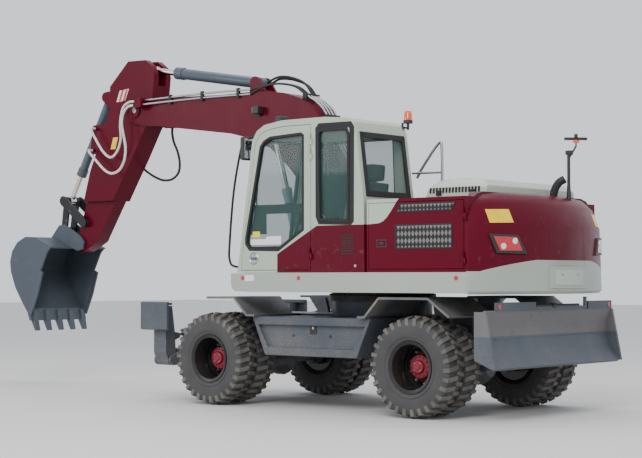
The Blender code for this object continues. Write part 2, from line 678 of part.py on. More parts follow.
def blade_cylinder():
    body, rod = cylinder_along(BLADE_CYLINDER_BASE, BLADE_CYLINDER_EYE, 0.45, 0.040, 0.024, 0.045, 0.034,
                               0.030, 0.0, CYLINDER_PIN)
    keep("blade_cylinder", body, "chassis_grey", spread(BLADE_CYLINDER_BASE))
    keep("blade_rod", rod, "chrome", spread(BLADE_CYLINDER_EYE))


# Upper structure

def tail_arc(radius, y_limit, steps):
    """Points on the tail circle between +y_limit and -y_limit, in (x, y)."""
    reach = math.degrees(math.asin(y_limit / radius))
    return arc((SLEW_X, 0), radius, 180 - reach, 180 + reach, steps)


def upper_frame():
    """The deck with its skirt, the turntable ring below it and the boom's foot plates."""
    half = HALF_WIDTH - 0.005
    outline = [(DECK_FRONT - 0.10, half), (DECK_FRONT, half - 0.10), (DECK_FRONT, -half + 0.10),
               (DECK_FRONT - 0.10, -half), (BAY_REAR, -half), (BAY_REAR, half)]
    deck = prism(outline, "z", SKIRT_BOTTOM, SKIRT_TOP)
    ring = bar((SLEW_X, 0, SLEW_Z + BEARING_GAP), (SLEW_X, 0, SKIRT_BOTTOM + 0.02), SLEW_RADIUS - 0.04, 24)
    plates = []
    foot = [(-0.22, SKIRT_TOP - 0.02), (-0.20, 1.62), (-0.13, 1.90), (-0.05, 1.98), (0.11, 1.98),
            (0.18, 1.90), (0.38, 1.60), (0.62, SKIRT_TOP - 0.02)]
    for y in (BOOM_HALF + RUNNING_GAP, -BOOM_HALF - RUNNING_GAP - 0.035):
        plates.append(prism(foot, "y", y, y + 0.035))
    plates.append(pin(BOOM_FOOT, -BOOM_HALF - 0.055, BOOM_HALF + 0.055, BOOM_PIN))
    for side in (LEFT, RIGHT):
        for offset in (-0.080, 0.062):
            y = side * LIFT_Y + offset
            plates.append(prism([(0.66, SKIRT_TOP - 0.02), (0.72, 1.47), (0.74, 1.50), (0.86, 1.50),
                                 (0.90, 1.47), (0.90, 1.40), (0.66, 1.40)], "y", y, y + 0.018))
    pocket = [box(0.70, 1.10, side * LIFT_Y - 0.062, side * LIFT_Y + 0.062, 1.355, 1.60)
              for side in (LEFT, RIGHT)]
    hole = cross_bore(LIFT_BASE, -0.36, 0.36, LIFT_PIN)
    keep("upper_frame", cut(join(deck, ring, *plates), hole, *pocket), "pale_grey",
         (SLEW_X, 0, SLEW_Z))


def counterweight():
    """The cast tail: an arc about the slewing axis with a rounded upper edge."""
    low = SKIRT_BOTTOM - 0.01
    levels = [(low, -0.03), (low + 0.03, 0), (1.95, -0.02), (2.16, -0.10), (2.255, -0.20), (2.285, -0.32)]
    bm = bmesh.new()
    rings = []
    front = BAY_REAR - GAP
    for z, inset in levels:
        radius = TAIL_RADIUS + inset
        half = HALF_WIDTH + min(0.0, inset + 0.02)
        line = [(x, y) for x, y in tail_arc(radius, half - 0.10, 14)]
        side_x = SLEW_X - math.sqrt(radius ** 2 - half ** 2) + 0.05
        line = [(front, half), (side_x, half)] + line + [(side_x, -half), (front, -half)]
        rings.append([bm.verts.new((x, y, z)) for x, y in line])
    for lower, upper in zip(rings, rings[1:]):
        for i in range(len(lower)):
            j = (i + 1) % len(lower)
            bm.faces.new((lower[i], lower[j], upper[j], upper[i]))
    bm.faces.new(rings[0])
    bm.faces.new(rings[-1])
    body = shape(bm)
    recess = box(-2.70, -2.485, -0.34, 0.34, 1.33, 1.53)
    keep("counterweight", cut(body, recess), "maroon")


def engine_bay():
    """The walls behind the cab: open at both sides for the doors, above for the hood, and below."""
    half = HALF_WIDTH - 0.005
    outer = box(BAY_REAR, BAY_FRONT, -half, half, SKIRT_TOP + GAP, DECK_TOP)
    inner = box(BAY_REAR + 0.05, BAY_FRONT - 0.05, -half + 0.12, half - 0.12,
                SKIRT_TOP - 0.1, DECK_TOP - 0.03)
    doors = [box(BAY_REAR + 0.024, BAY_FRONT - 0.02, y0, y1, SKIRT_TOP + 0.03, DECK_TOP - 0.035)
             for y0, y1 in ((half - 0.15, half + 0.1), (-half - 0.1, -half + 0.15))]
    hood = box(HOOD_REAR + 0.05, HOOD_FRONT - 0.05, HOOD_RIGHT + 0.05, HOOD_LEFT - 0.05, 2.0, 2.5)
    tabs = []
    for side in (LEFT, RIGHT):
        for z in DOOR_KNUCKLES:
            tabs.extend(hinge_leaf(BAY_REAR + 0.032, side, -1, z - 0.06, z - BEARING_GAP))
    keep("engine_bay", join(cut(outer, inner, *doors, hood), *tabs), "maroon")


def hinge_leaf(x, side, way, z0, z1):
    """A hinge's knuckle with the leaf that carries it, ahead of it (way 1) or behind it (way -1)."""
    face = HALF_WIDTH - 0.005
    knuckle_bar = bar((x, side * (face + HINGE_OUT), z0), (x, side * (face + HINGE_OUT), z1), 0.012, 8)
    near, far = sorted((x + way * 0.004, x + way * 0.031))
    low, high = sorted((side * (face + 0.004), side * (face + 0.020)))
    strap = box(near, far, low, high, z0, z1)
    near, far = sorted((x + way * 0.014, x + way * 0.030))
    low, high = sorted((side * (face - 0.012), side * (face + 0.012)))
    foot = box(near, far, low, high, z0, z1)
    return [knuckle_bar, strap, foot]


def engine_hood():
    """A raised lid with crowned top, hinged along its front edge."""
    profile = [(HOOD_FRONT, DECK_TOP + GAP), (HOOD_FRONT - 0.02, 2.30), (HOOD_FRONT - 0.07, 2.39),
               (HOOD_FRONT - 0.16, 2.435), (HOOD_REAR + 0.30, 2.45), (HOOD_REAR + 0.08, 2.42),
               (HOOD_REAR, 2.36), (HOOD_REAR, DECK_TOP + GAP)]
    body = prism(profile, "y", HOOD_RIGHT, HOOD_LEFT)
    across_profile = [(HOOD_RIGHT - 0.01, 2.0), (HOOD_LEFT + 0.01, 2.0), (HOOD_LEFT - 0.01, 2.34),
                      (HOOD_LEFT - 0.10, 2.44), (HOOD_LEFT - 0.2, 2.47), (HOOD_RIGHT + 0.2, 2.47),
                      (HOOD_RIGHT + 0.10, 2.44), (HOOD_RIGHT + 0.01, 2.34)]
    crown = prism(across_profile, "x", HOOD_REAR - 0.1, HOOD_FRONT + 0.1)
    body = combine("INTERSECT", body, [crown])
    hollow = box(HOOD_REAR + 0.03, HOOD_FRONT - 0.09, HOOD_RIGHT + 0.04, HOOD_LEFT - 0.04, 2.1, 2.36)
    keep("engine_hood", cut(body, hollow), "pale_grey", (HOOD_FRONT, 0, DECK_TOP + 0.01))


def service_door(name, side):
    """The side door of the engine bay, hinged at its rear edge."""
    half = HALF_WIDTH - 0.005
    leaf = box(BAY_REAR + 0.032, BAY_FRONT - 0.025, half - 0.030, half, SKIRT_TOP + 0.035, DECK_TOP - 0.040)
    grille = box(-1.92, -1.26, half - 0.05, half - 0.025, 1.72, 1.95)
    hinges = [piece for z in DOOR_KNUCKLES for piece in hinge_leaf(BAY_REAR + 0.032, LEFT, 1, z, z + 0.06)]
    pivot = (BAY_REAR + 0.032, side * (half + HINGE_OUT), 1.85)
    keep(name, on_side(side, cut(join(leaf, *hinges), grille)), "maroon", pivot)


def right_tank():
    """Hydraulic tank, fuel tank and the stepped tool box in front of them, on the right."""
    outline = [(-0.835, SKIRT_TOP + GAP), (DECK_FRONT - 0.02, SKIRT_TOP + GAP), (DECK_FRONT - 0.02, 1.78),
               (0.60, 1.82), (0.56, 2.06), (0.20, 2.10), (0.16, DECK_TOP), (-0.835, DECK_TOP)]
    keep("right_tank", prism(outline, "y", -HALF_WIDTH + 0.01, -0.40), "maroon")


def engine_block():
    keep("engine_block", box(-1.95, -1.15, -0.45, 0.40, SKIRT_TOP + GAP, 2.05), "engine")


# Cab

def inset(outline, distance):
    """A closed (x, z) outline, clockwise or not, moved inwards by a distance."""
    points = [Vector(p) for p in outline]
    area = sum(p.cross(q) for p, q in zip(points, points[1:] + points[:1]))
    way = 1 if area > 0 else -1
    moved_points = []
    for i, point in enumerate(points):
        first = (point - points[i - 1]).normalized()
        second = (points[(i + 1) % len(points)] - point).normalized()
        normal = Vector((-first.y - second.y, first.x + second.x)).normalized() * way
        lean = normal.dot(Vector((-first.y, first.x))) * way
        moved_points.append(tuple(point + normal * distance / lean))
    return moved_points


def cab_shell():
    """The cab's pressed shell, hollow, with door opening and windows cut."""
    outer = prism(CAB_OUTLINE, "y", CAB_INNER_Y, HALF_WIDTH - 0.005)
    room = prism(inset(CAB_OUTLINE, CAB_WALL), "y", CAB_INNER_Y + CAB_WALL, HALF_WIDTH - 0.005 - CAB_WALL)
    door = prism(inset(DOOR_OUTLINE, -DOOR_GAP), "y", CAB_OUTER_Y - 0.10, HALF_WIDTH + 0.1)
    side = prism(SIDE_WINDOW, "y", HALF_WIDTH - 0.15, HALF_WIDTH + 0.1)
    far = prism([(-0.62, 2.00), (0.70, 2.00), (0.58, 2.86), (0.50, 2.95), (-0.58, 2.95)],
                "y", CAB_INNER_Y - 0.1, CAB_INNER_Y + 0.12)
    front = prism([(1.2, 1.62), (0.80, 1.62), (0.55, 2.95), (1.0, 2.95)], "y", CAB_INNER_Y + 0.07, 1.17)
    rear = box(-1.0, -0.6, CAB_INNER_Y + 0.08, 1.17, 2.29, 2.93)
    tabs = [piece for z in CAB_KNUCKLES
            for piece in hinge_leaf(DOOR_REAR + 0.002, LEFT, -1, z - 0.06, z - BEARING_GAP)]
    keep("cab_shell", join(cut(outer, room, door, side, far, front, rear), *tabs), "pale_grey")


def cab_door():
    """The door leaf with its window frame, hinged at its rear edge outside the skin."""
    face = HALF_WIDTH - 0.005
    leaf = prism(DOOR_OUTLINE, "y", face - DOOR_THICKNESS, face)
    window = prism(DOOR_WINDOW, "y", face - 0.1, face + 0.1)
    pivot = (DOOR_REAR + 0.002, face + HINGE_OUT, 2.25)
    hinges = [piece for z in CAB_KNUCKLES for piece in hinge_leaf(pivot[0], LEFT, 1, z, z + 0.06)]
    keep("cab_door", cut(join(leaf, *hinges), window), "pale_grey", pivot)


def operator_chair():
    y = (CAB_INNER_Y + HALF_WIDTH) / 2
    floor = SKIRT_TOP + GAP + CAB_WALL + GAP
    base = box(-0.45, 0.00, y - 0.17, y + 0.17, floor, 1.72)
    cushion = box(-0.50, 0.05, y - 0.25, y + 0.25, 1.70, 1.84)
    back = prism([(-0.46, 1.80), (-0.34, 1.80), (-0.47, 2.42), (-0.57, 2.42)], "y", y - 0.23, y + 0.23)
    head = prism([(-0.50, 2.40), (-0.47, 2.40), (-0.49, 2.62), (-0.57, 2.62), (-0.56, 2.40)],
                 "y", y - 0.13, y + 0.13)
    keep("operator_chair", join(base, cushion, back, head), "cloth")


# Boom, arm and bucket

def boom():
    """The bent box boom, with a fork at its nose for the arm."""
    top = [(-0.10, 1.93), (0.30, 2.66), (0.62, 3.24), (0.76, 3.40), (0.94, 3.51), (1.17, 3.585),
           (1.40, 3.625), (1.75, 3.64), (2.20, 3.64), (3.42, 3.685)]
    nose = arc(ARM_PIVOT, 0.16, 70, -80, 6)
    bottom = [(3.50, 3.34), (3.30, 3.33), (2.65, 3.24), (2.04, 3.16), (1.70, 3.08), (1.40, 2.95),
              (1.12, 2.72), (0.69, 2.26), (0.20, 1.72)]
    foot = arc(BOOM_FOOT, 0.17, -40, -215, 8)
    web = prism(top + nose + bottom + foot, "y", -BOOM_HALF, BOOM_HALF)
    slot = box(3.19, 4.1, -ARM_HALF - RUNNING_GAP, ARM_HALF + RUNNING_GAP, 3.0, 4.2)
    lugs = []
    for y in (-0.115, 0.080):
        outline = hull_of_circles(ARM_CYLINDER_BASE, 0.075, (1.66, 3.55), 0.14)
        lugs.append(prism(outline, "y", y, y + 0.035))
    bosses = [pin(BOOM_LIFT_PIN, y, y + 0.012, 0.085) for y in (-BOOM_HALF - 0.008, BOOM_HALF - 0.004)]
    caps = [pin(ARM_PIVOT, y, y + 0.022, 0.09) for y in (-BOOM_HALF - 0.018, BOOM_HALF - 0.004)]
    blocks = [box(3.48, 3.60, 0.18, 0.31, 3.57, 3.69), box(3.42, 3.50, -0.265, -0.18, 3.36, 3.46)]
    fittings = [bar((3.58, start[1], start[2]), (start[0] - GAP, start[1], start[2]), 0.024)
                for start in (SLEEVE_SHORT[0], SLEEVE_LONG[0])]
    drop = BLACK_LOOP[0]
    fittings.append(bar((drop[0], drop[1], 3.38), (drop[0], drop[1], drop[2] + GAP), 0.024))
    hole = cross_bore(BOOM_FOOT, -0.4, 0.4, BOOM_PIN)
    obj = cut(join(web, *lugs, *bosses, *caps), slot, hole)
    base = pin(ARM_CYLINDER_BASE, -0.11, 0.11, ARM_CYLINDER_PIN)
    obj = join(obj, pin(ARM_PIVOT, -0.18, 0.18, ARM_PIN), base, *blocks, *fittings)
    keep("boom", obj, "maroon", spread(BOOM_FOOT))


def boom_cylinders():
    """Both lift cylinders, whose tubes turn on one common pin across the deck's nose."""
    tubes = []
    for word, side in SIDES:
        body, rod = cylinder_along(LIFT_BASE, BOOM_LIFT_PIN, 1.05, LIFT_TUBE, LIFT_ROD, 0.062, 0.058,
                                   0.034, LIFT_RETRACT, 0)
        tubes.append(moved(body, (0, side * LIFT_Y, 0)))
        keep(f"boom_rod_{word}", moved(rod, (0, side * LIFT_Y, 0)), "chrome",
             (BOOM_LIFT_PIN[0], side * LIFT_Y, BOOM_LIFT_PIN[1]))
    shaft = pin(LIFT_BASE, -LIFT_Y - 0.075, LIFT_Y + 0.075, LIFT_PIN)
    keep("boom_cylinders", join(*tubes, shaft), "chassis_grey", spread(LIFT_BASE))


def arm():
    """The arm: a long box with a tall head above its pivot and bucket-cylinder lugs in front."""
    front = [(3.88, 4.20), (4.22, 3.90), (4.22, 3.62), (4.45, 3.12), (4.60, 2.80), (4.74, 2.35), (4.86, 2.03)]
    rear = [(4.70, 1.80), (4.50, 1.90), (3.98, 2.68), (3.79, 2.96), (3.56, 3.33), (3.44, 3.48), (3.43, 3.70),
            (3.40, 3.98), (3.44, 4.10), (3.56, 4.19)]
    tip = arc(BUCKET_PIN, 0.11, 15, -120, 5)
    body = prism(front + tip + rear, "y", -ARM_HALF, ARM_HALF)
    fork = box(3.30, 3.66, -0.062, 0.062, 3.86, 4.30)
    lugs = []
    for y in (-0.105, 0.070):
        outline = hull_of_circles(BUCKET_CYLINDER_BASE, 0.065, (4.10, 3.70), 0.16)
        lugs.append(prism(outline, "y", y, y + 0.035))
    slim = [box(3.5, 5.2, y - 0.1, y + 0.1, 1.5, 2.42) for y in (-ARM_TIP_HALF - 0.1, ARM_TIP_HALF + 0.1)]
    obj = cut(join(body, *lugs), fork, *slim)
    bracket = prism([(4.20, 3.42), (4.56, 3.42), (4.62, 3.04), (4.36, 3.04)], "y", 0.118, 0.130)
    ends = [bar((end[0], 0.125, end[2]), (end[0], end[1] - GAP, end[2]), 0.024)
            for end in (SLEEVE_SHORT[-1], SLEEVE_LONG[-1])]
    loop_end = BLACK_LOOP[-1]
    ends.append(bar((loop_end[0], -0.14, loop_end[2]), (loop_end[0], loop_end[1] + GAP, loop_end[2]), 0.024))
    bores = [cross_bore(place, -0.4, 0.4, radius) for place, radius in
             ((ROCKER_PIN, ROCKER_SHAFT), (BUCKET_PIN, BUCKET_SHAFT), (ARM_PIVOT, ARM_PIN))]
    base = pin(BUCKET_CYLINDER_BASE, -0.10, 0.10, ARM_CYLINDER_PIN)
    keep("arm", join(cut(obj, *bores), base, bracket, *ends), "maroon", spread(ARM_PIVOT))


def arm_cylinder():
    body, rod = cylinder_along(ARM_CYLINDER_BASE, ARM_CYLINDER_EYE, 1.42, ARM_TUBE, ARM_ROD, 0.070, 0.058,
                               0.052, ARM_RETRACT, ARM_CYLINDER_PIN)
    keep("arm_cylinder", body, "steel_blue", spread(ARM_CYLINDER_BASE))
    keep("arm_rod", rod, "chrome", spread(ARM_CYLINDER_EYE))


def bucket_cylinder():
    body, rod = cylinder_along(BUCKET_CYLINDER_BASE, LINK_PIN, 1.12, BUCKET_TUBE, BUCKET_ROD, 0.062, 0.052,
                               0.046, BUCKET_RETRACT, ARM_CYLINDER_PIN)
    keep("bucket_cylinder", body, "steel_blue", spread(BUCKET_CYLINDER_BASE))
    keep("bucket_rod", rod, "chrome", spread(LINK_PIN))


def bucket_rocker():
    """Two links outside the arm, joined by their pin through it and a stub at the rod's eye."""
    plates = []
    for y in (-0.162, 0.134):
        plates.append(prism(hull_of_circles(ROCKER_PIN, 0.062, LINK_PIN, 0.062), "y", y, y + 0.028))
    shaft = pin(ROCKER_PIN, -0.15, 0.15, ROCKER_SHAFT)
    spacers = [pin(ROCKER_PIN, y, y + 0.045, 0.055) for y in (-0.1445, 0.0995)]
    stubs = [pin(LINK_PIN, y, y + 0.075, LINK_SHAFT) for y in (-0.14, 0.065)]
    keep("bucket_rocker", join(*plates, shaft, *spacers, *stubs), "chassis_grey", spread(ROCKER_PIN))


def bucket_link():
    """The H link from the rocker's tip to the bucket."""
    plates = []
    for y in (-0.092, 0.064):
        plates.append(prism(hull_of_circles(LINK_PIN, 0.055, BUCKET_LINK_PIN, 0.055), "y", y, y + 0.028))
    tie = pin(BUCKET_LINK_PIN, -0.09, 0.09, 0.045)
    hole = cross_bore(LINK_PIN, -0.2, 0.2, LINK_SHAFT)
    keep("bucket_link", cut(join(*plates, tie), hole), "chassis_grey", spread(LINK_PIN))


def bucket():
    """A digging bucket with closed sides, five teeth and two ears for its pins."""
    back = [(4.98, 1.83), (5.30, 1.96), (5.50, 1.97), (5.66, 1.90), (5.77, 1.78), (5.81, 1.64), (5.79, 1.50),
            (5.70, 1.30), (5.57, 1.12), (5.43, 0.95)]
    wall = band(back, -0.022)
    half = BUCKET_WIDTH / 2
    sheet = prism(wall, "y", -half, half)
    side = back + [(5.37, 0.98), (5.29, 1.24), (5.19, 1.52), (5.06, 1.76)]
    cheeks = [prism(side, "y", y, y + 0.024) for y in (-half, half - 0.024)]
    cutters = []
    blade_edge = [(5.42, 0.99), (5.36, 0.93), (5.23, 1.20), (5.13, 1.50), (5.20, 1.53), (5.30, 1.27)]
    for y in (-half - 0.014, half - 0.010):
        cutters.append(prism(blade_edge, "y", y, y + 0.024))
    ears = []
    for y in (-0.126, 0.098):
        outline = [(5.10, 1.87), (4.87, 1.78), (4.76, 1.80), (4.735, 1.90), (4.80, 1.97), (5.02, 2.08),
                   (5.12, 2.135), (5.23, 2.125), (5.36, 1.99), (5.40, 1.95)]
        ears.append(prism(outline, "y", y, y + 0.028))
    lip = prism([(5.40, 1.02), (5.45, 0.98), (5.40, 0.86), (5.36, 0.86)], "y", -half, half)
    tooth = [(5.46, 1.00), (5.36, 1.00), (5.335, 0.88), (5.30, 0.73), (5.33, 0.725), (5.42, 0.88)]
    teeth = []
    for i in range(5):
        y = -half + 0.07 + i * (BUCKET_WIDTH - 0.14) / 4
        teeth.append(prism(tooth, "y", y - 0.035, y + 0.035))
    shaft = pin(BUCKET_PIN, -0.12, 0.12, BUCKET_SHAFT)
    obj = join(sheet, *cheeks, *cutters, *ears, lip, *teeth, shaft)
    keep("bucket", obj, "chassis_grey", spread(BUCKET_PIN))


# Free hoses at the elbow of boom and arm

def hose_route(points):
    """A smooth curve between the two straight ends that sit on their fittings."""
    return [Vector(points[0])] + smooth(points[1:-1], 15) + [Vector(points[-1])]


def hoses():
    for name, points, colour in (("sleeve_hose_short", SLEEVE_SHORT, "sleeve"),
                                 ("sleeve_hose_long", SLEEVE_LONG, "sleeve"),
                                 ("black_hose", BLACK_LOOP, "black_steel")):
        keep(name, swept(hose_route(points), HOSE_RADIUS), colour)


def build():
    global machine
    clear_scene()
    machine = bpy.data.objects.new("machine", None)
    bpy.context.scene.collection.objects.link(machine)
    machine.location = (MACHINE_X, 0, 0)
    chassis_frame()
    front_axle()
    rear_axle()
    for word, side in SIDES:
        knuckle(f"knuckle_{word}", side)
        side_box(f"side_box_{word}", side)
        front_fender(f"fender_front_{word}", side)
        rear_fender(f"fender_rear_{word}", side)
        outrigger_leg(f"outrigger_leg_{word}", side)
        outrigger_cylinder(word, side)
        service_door(f"service_door_{word}", side)
    wheels()
    blade()
    blade_link("blade_lower_link", BLADE_LOW_PIN, 0.50)
    blade_link("blade_upper_link", BLADE_HIGH_PIN, 0.82)
    blade_cylinder()
    upper_frame()
    counterweight()
    engine_bay()
    engine_hood()
    right_tank()
    engine_block()
    cab_shell()
    cab_door()
    operator_chair()
    boom()
    boom_cylinders()
    arm()
    arm_cylinder()
    bucket_cylinder()
    bucket_rocker()
    bucket_link()
    bucket()
    hoses()


build()
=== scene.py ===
# %% [markdown]
# # A wheeled excavator, dressed for its portrait
# A wheeled excavator digs like a tracked one, but drives on the road on twin tyres. The packed
# model already holds every moving body. This lesson gives them paint, rubber, glass and small
# fittings. All places are measured from a point on the ground midway between the two axles, and
# AHEAD moves them to the frame's own origin.

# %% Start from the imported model
import json
import math

import bmesh
import bpy
from mathutils import Matrix, Vector
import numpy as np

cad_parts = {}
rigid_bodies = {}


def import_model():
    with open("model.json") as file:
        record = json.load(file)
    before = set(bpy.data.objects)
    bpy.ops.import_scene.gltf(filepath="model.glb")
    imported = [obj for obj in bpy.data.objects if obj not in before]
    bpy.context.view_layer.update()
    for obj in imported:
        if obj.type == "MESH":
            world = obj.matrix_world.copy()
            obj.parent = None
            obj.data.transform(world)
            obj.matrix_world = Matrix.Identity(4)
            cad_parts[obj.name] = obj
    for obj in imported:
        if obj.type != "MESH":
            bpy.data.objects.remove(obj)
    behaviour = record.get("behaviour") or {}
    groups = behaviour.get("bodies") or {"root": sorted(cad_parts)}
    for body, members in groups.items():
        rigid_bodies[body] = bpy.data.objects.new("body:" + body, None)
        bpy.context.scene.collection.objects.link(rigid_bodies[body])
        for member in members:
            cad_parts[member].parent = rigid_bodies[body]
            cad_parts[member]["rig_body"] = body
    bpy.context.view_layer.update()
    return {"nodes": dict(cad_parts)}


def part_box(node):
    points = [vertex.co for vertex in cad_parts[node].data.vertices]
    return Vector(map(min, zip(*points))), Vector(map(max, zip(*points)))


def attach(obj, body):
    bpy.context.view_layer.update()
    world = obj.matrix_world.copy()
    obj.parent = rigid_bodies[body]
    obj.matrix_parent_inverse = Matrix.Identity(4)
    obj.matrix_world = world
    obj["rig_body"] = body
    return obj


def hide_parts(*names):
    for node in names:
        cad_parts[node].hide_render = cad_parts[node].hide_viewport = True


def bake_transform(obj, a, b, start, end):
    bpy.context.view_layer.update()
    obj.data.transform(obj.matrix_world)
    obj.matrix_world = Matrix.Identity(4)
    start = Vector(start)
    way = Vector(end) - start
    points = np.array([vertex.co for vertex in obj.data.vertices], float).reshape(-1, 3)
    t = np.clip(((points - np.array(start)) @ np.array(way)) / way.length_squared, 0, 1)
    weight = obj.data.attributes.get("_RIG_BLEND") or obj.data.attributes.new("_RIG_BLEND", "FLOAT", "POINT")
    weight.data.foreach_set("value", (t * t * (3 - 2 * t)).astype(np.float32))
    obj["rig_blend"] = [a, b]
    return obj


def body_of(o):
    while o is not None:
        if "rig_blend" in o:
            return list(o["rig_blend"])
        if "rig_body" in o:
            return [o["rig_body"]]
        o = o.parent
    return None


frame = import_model()
AHEAD = -1.63
LEFT = 1
RIGHT = -1
SIDES = (("left", LEFT), ("right", RIGHT))

# %% [markdown]
# ## The camera
# The camera stands off the machine's rear left corner at about eye height and looks slightly up.
# A long lens keeps the wheels close to one size.

# %% Camera
CAMERA_PLACE = (-10.85 + AHEAD, 13.96, 1.422)
CAMERA_YAW = math.radians(-50.2)
CAMERA_PITCH = math.radians(1.79)
CAMERA_LENS = 87.9


def place_camera():
    data = bpy.data.cameras.new("eye")
    data.lens = CAMERA_LENS
    data.sensor_width = 36.0
    camera = bpy.data.objects.new("eye", data)
    way = Vector((math.cos(CAMERA_YAW) * math.cos(CAMERA_PITCH),
                  math.sin(CAMERA_YAW) * math.cos(CAMERA_PITCH), math.sin(CAMERA_PITCH)))
    camera.location = CAMERA_PLACE
    camera.rotation_euler = way.to_track_quat("-Z", "Y").to_euler()
    bpy.context.scene.collection.objects.link(camera)
    bpy.context.scene.camera = camera


place_camera()
print("camera", CAMERA_PLACE)

# %% [markdown]
# ## Shader maths as plain expressions
# A mask could be wired node by node, but its sum would then be hard to read. Here a small class
# wraps a socket, so that masks read as sums, and one method of the finish adds any other node.

# %% Sockets that add up
class Signal:
    """A number that varies over a surface."""

    def __init__(self, finish, socket):
        self.finish = finish
        self.socket = socket

    def maths(self, operation, *values):
        return self.finish.node("ShaderNodeMath", {"operation": operation}, [self, *values])

    def __add__(self, other):
        return self.maths("ADD", other)

    __radd__ = __add__

    def __mul__(self, other):
        return self.maths("MULTIPLY", other)

    __rmul__ = __mul__

    def __sub__(self, other):
        return self.maths("SUBTRACT", other)

    def __rsub__(self, other):
        return self.finish.node("ShaderNodeMath", {"operation": "SUBTRACT"}, [other, self])

    def __lt__(self, other):
        return self.maths("LESS_THAN", other)

    def __gt__(self, other):
        return self.maths("GREATER_THAN", other)

    def within(self):
        """The same value held between 0 and 1."""
        return self.finish.node("ShaderNodeMath", {"operation": "ADD", "use_clamp": True}, [self, 0.0])


class Finish:
    """A material with its Principled shader, to which nodes are added by one method."""

    def __init__(self, name, slot, colour, roughness, metallic=0.0):
        self.slot = slot
        self.material = bpy.data.materials.new(name)
        self.material.use_nodes = True
        self.tree = self.material.node_tree
        self.shader = self.tree.nodes["Principled BSDF"]
        self.colour = colour
        self.shader.inputs["Base Color"].default_value = (*colour, 1.0)
        self.shader.inputs["Roughness"].default_value = roughness
        self.shader.inputs["Metallic"].default_value = metallic
        self.place = self.node("ShaderNodeTexCoord", {}, {}, "Object")

    def node(self, kind, settings, values, output=0):
        made = self.tree.nodes.new(kind)
        for key, value in settings.items():
            setattr(made, key, value)
        pairs = values.items() if isinstance(values, dict) else enumerate(values)
        for key, value in pairs:
            if isinstance(value, Signal):
                self.tree.links.new(value.socket, made.inputs[key])
            else:
                made.inputs[key].default_value = value
        return Signal(self, made.outputs[output])

    def feed(self, name, signal):
        self.tree.links.new(signal.socket, self.shader.inputs[name])

    def noise(self, scale, detail=3.0, place=None):
        return self.node("ShaderNodeTexNoise", {},
                         {"Vector": place or self.place, "Scale": scale, "Detail": detail}, "Fac")

    def axis(self, name):
        return self.node("ShaderNodeSeparateXYZ", {}, {"Vector": self.place}, name)

    def blend(self, share, first, second):
        return self.node("ShaderNodeMix", {"data_type": "RGBA"}, {0: share, 6: first, 7: second}, 2)

    def bump(self, height, strength, distance):
        self.feed("Normal", self.node("ShaderNodeBump", {}, {
            "Strength": strength, "Distance": distance, "Height": height}, "Normal"))


def rgba(colour, share=1.0):
    return (colour[0] * share, colour[1] * share, colour[2] * share, 1.0)


print("sockets ready")

# %% [markdown]
# ## Paints
# A sprayed panel is never one flat colour. It has slow changes of tone, a fine orange peel,
# scattered chips on the hard-worn pieces, and a veil of road dust that grows towards the ground.
# A flat colour for each panel would be quicker, but it would look like a toy's. One function makes
# every paint of the machine, and the two-tone panels mix two colours along a measured line,
# because one pressed panel carries both.

# %% Sprayed paint
DUST = (0.36, 0.31, 0.25)
ROAD_DUST_TOP = 1.5


def dust_veil(finish, amount):
    """A mask that is strongest near the ground and breaks up into patches."""
    low = (1.0 - finish.axis("Z") * (1 / ROAD_DUST_TOP)).within()
    patches = finish.noise(3.2, 5.0) * 1.6 - 0.35
    grains = finish.noise(38.0, 4.0) * 1.4 - 0.2
    return (low * patches * grains * amount).within()


def painted(name, slot, colour, roughness=0.32, dust=0.5, coat=0.25, chips=0.0, second=None, mask=None,
            shine=0.28):
    finish = Finish(name, slot, colour, roughness)
    finish.shader.inputs["Specular IOR Level"].default_value = shine
    base = finish.blend(finish.noise(0.9, 3.0), rgba(colour, 0.86), rgba(colour, 1.12))
    if second:
        other = finish.blend(finish.noise(0.9, 3.0), rgba(second, 0.86), rgba(second, 1.12))
        base = finish.blend(mask(finish), base, other)
    streaks = finish.noise(14.0, 6.0)
    base = finish.blend(((streaks - 0.62) * 0.7).within(), base, rgba(colour, 0.7))
    if chips:
        worn = (finish.noise(60.0, 4.0) * finish.noise(7.0, 2.0) - chips) * 30.0
        base = finish.blend(worn.within(), base, (0.10, 0.09, 0.085, 1.0))
    veil = dust_veil(finish, dust)
    finish.feed("Base Color", finish.blend(veil, base, rgba(DUST)))
    finish.feed("Roughness", (finish.noise(9.0, 4.0) * 0.16 + (roughness - 0.08) + veil * 0.45).within())
    finish.shader.inputs["Coat Weight"].default_value = coat
    finish.shader.inputs["Coat Roughness"].default_value = 0.08
    finish.bump(finish.noise(190.0, 2.0), 0.10, 0.0006)
    return finish


MAROON = (0.092, 0.0, 0.0105)
PALE = (0.400, 0.455, 0.380)
SKIRT = (0.340, 0.378, 0.335)
BLUE_GREY = (0.052, 0.066, 0.088)


def cab_line(finish):
    """1 where the cab's lower rear part is maroon, below a line that climbs to the rear."""
    x = finish.axis("X")
    edge = (0.36 + AHEAD) - x
    line = finish.node("ShaderNodeMath", {"operation": "MINIMUM"}, [edge * 0.53 + 1.68, 1.975])
    return (edge > 0.0) * (finish.axis("Z") < line) * (finish.axis("Y") > 0.9)


def tail_line(finish):
    """1 on the upper part of the tail, above a line that climbs towards the rear."""
    climb = (((-2.22 + AHEAD) - finish.axis("X")) * 4.0).within()
    return finish.axis("Z") > climb * 0.115 + 1.487


def blade_band(finish):
    """1 on the blade's upper band."""
    return finish.axis("Z") > 0.845


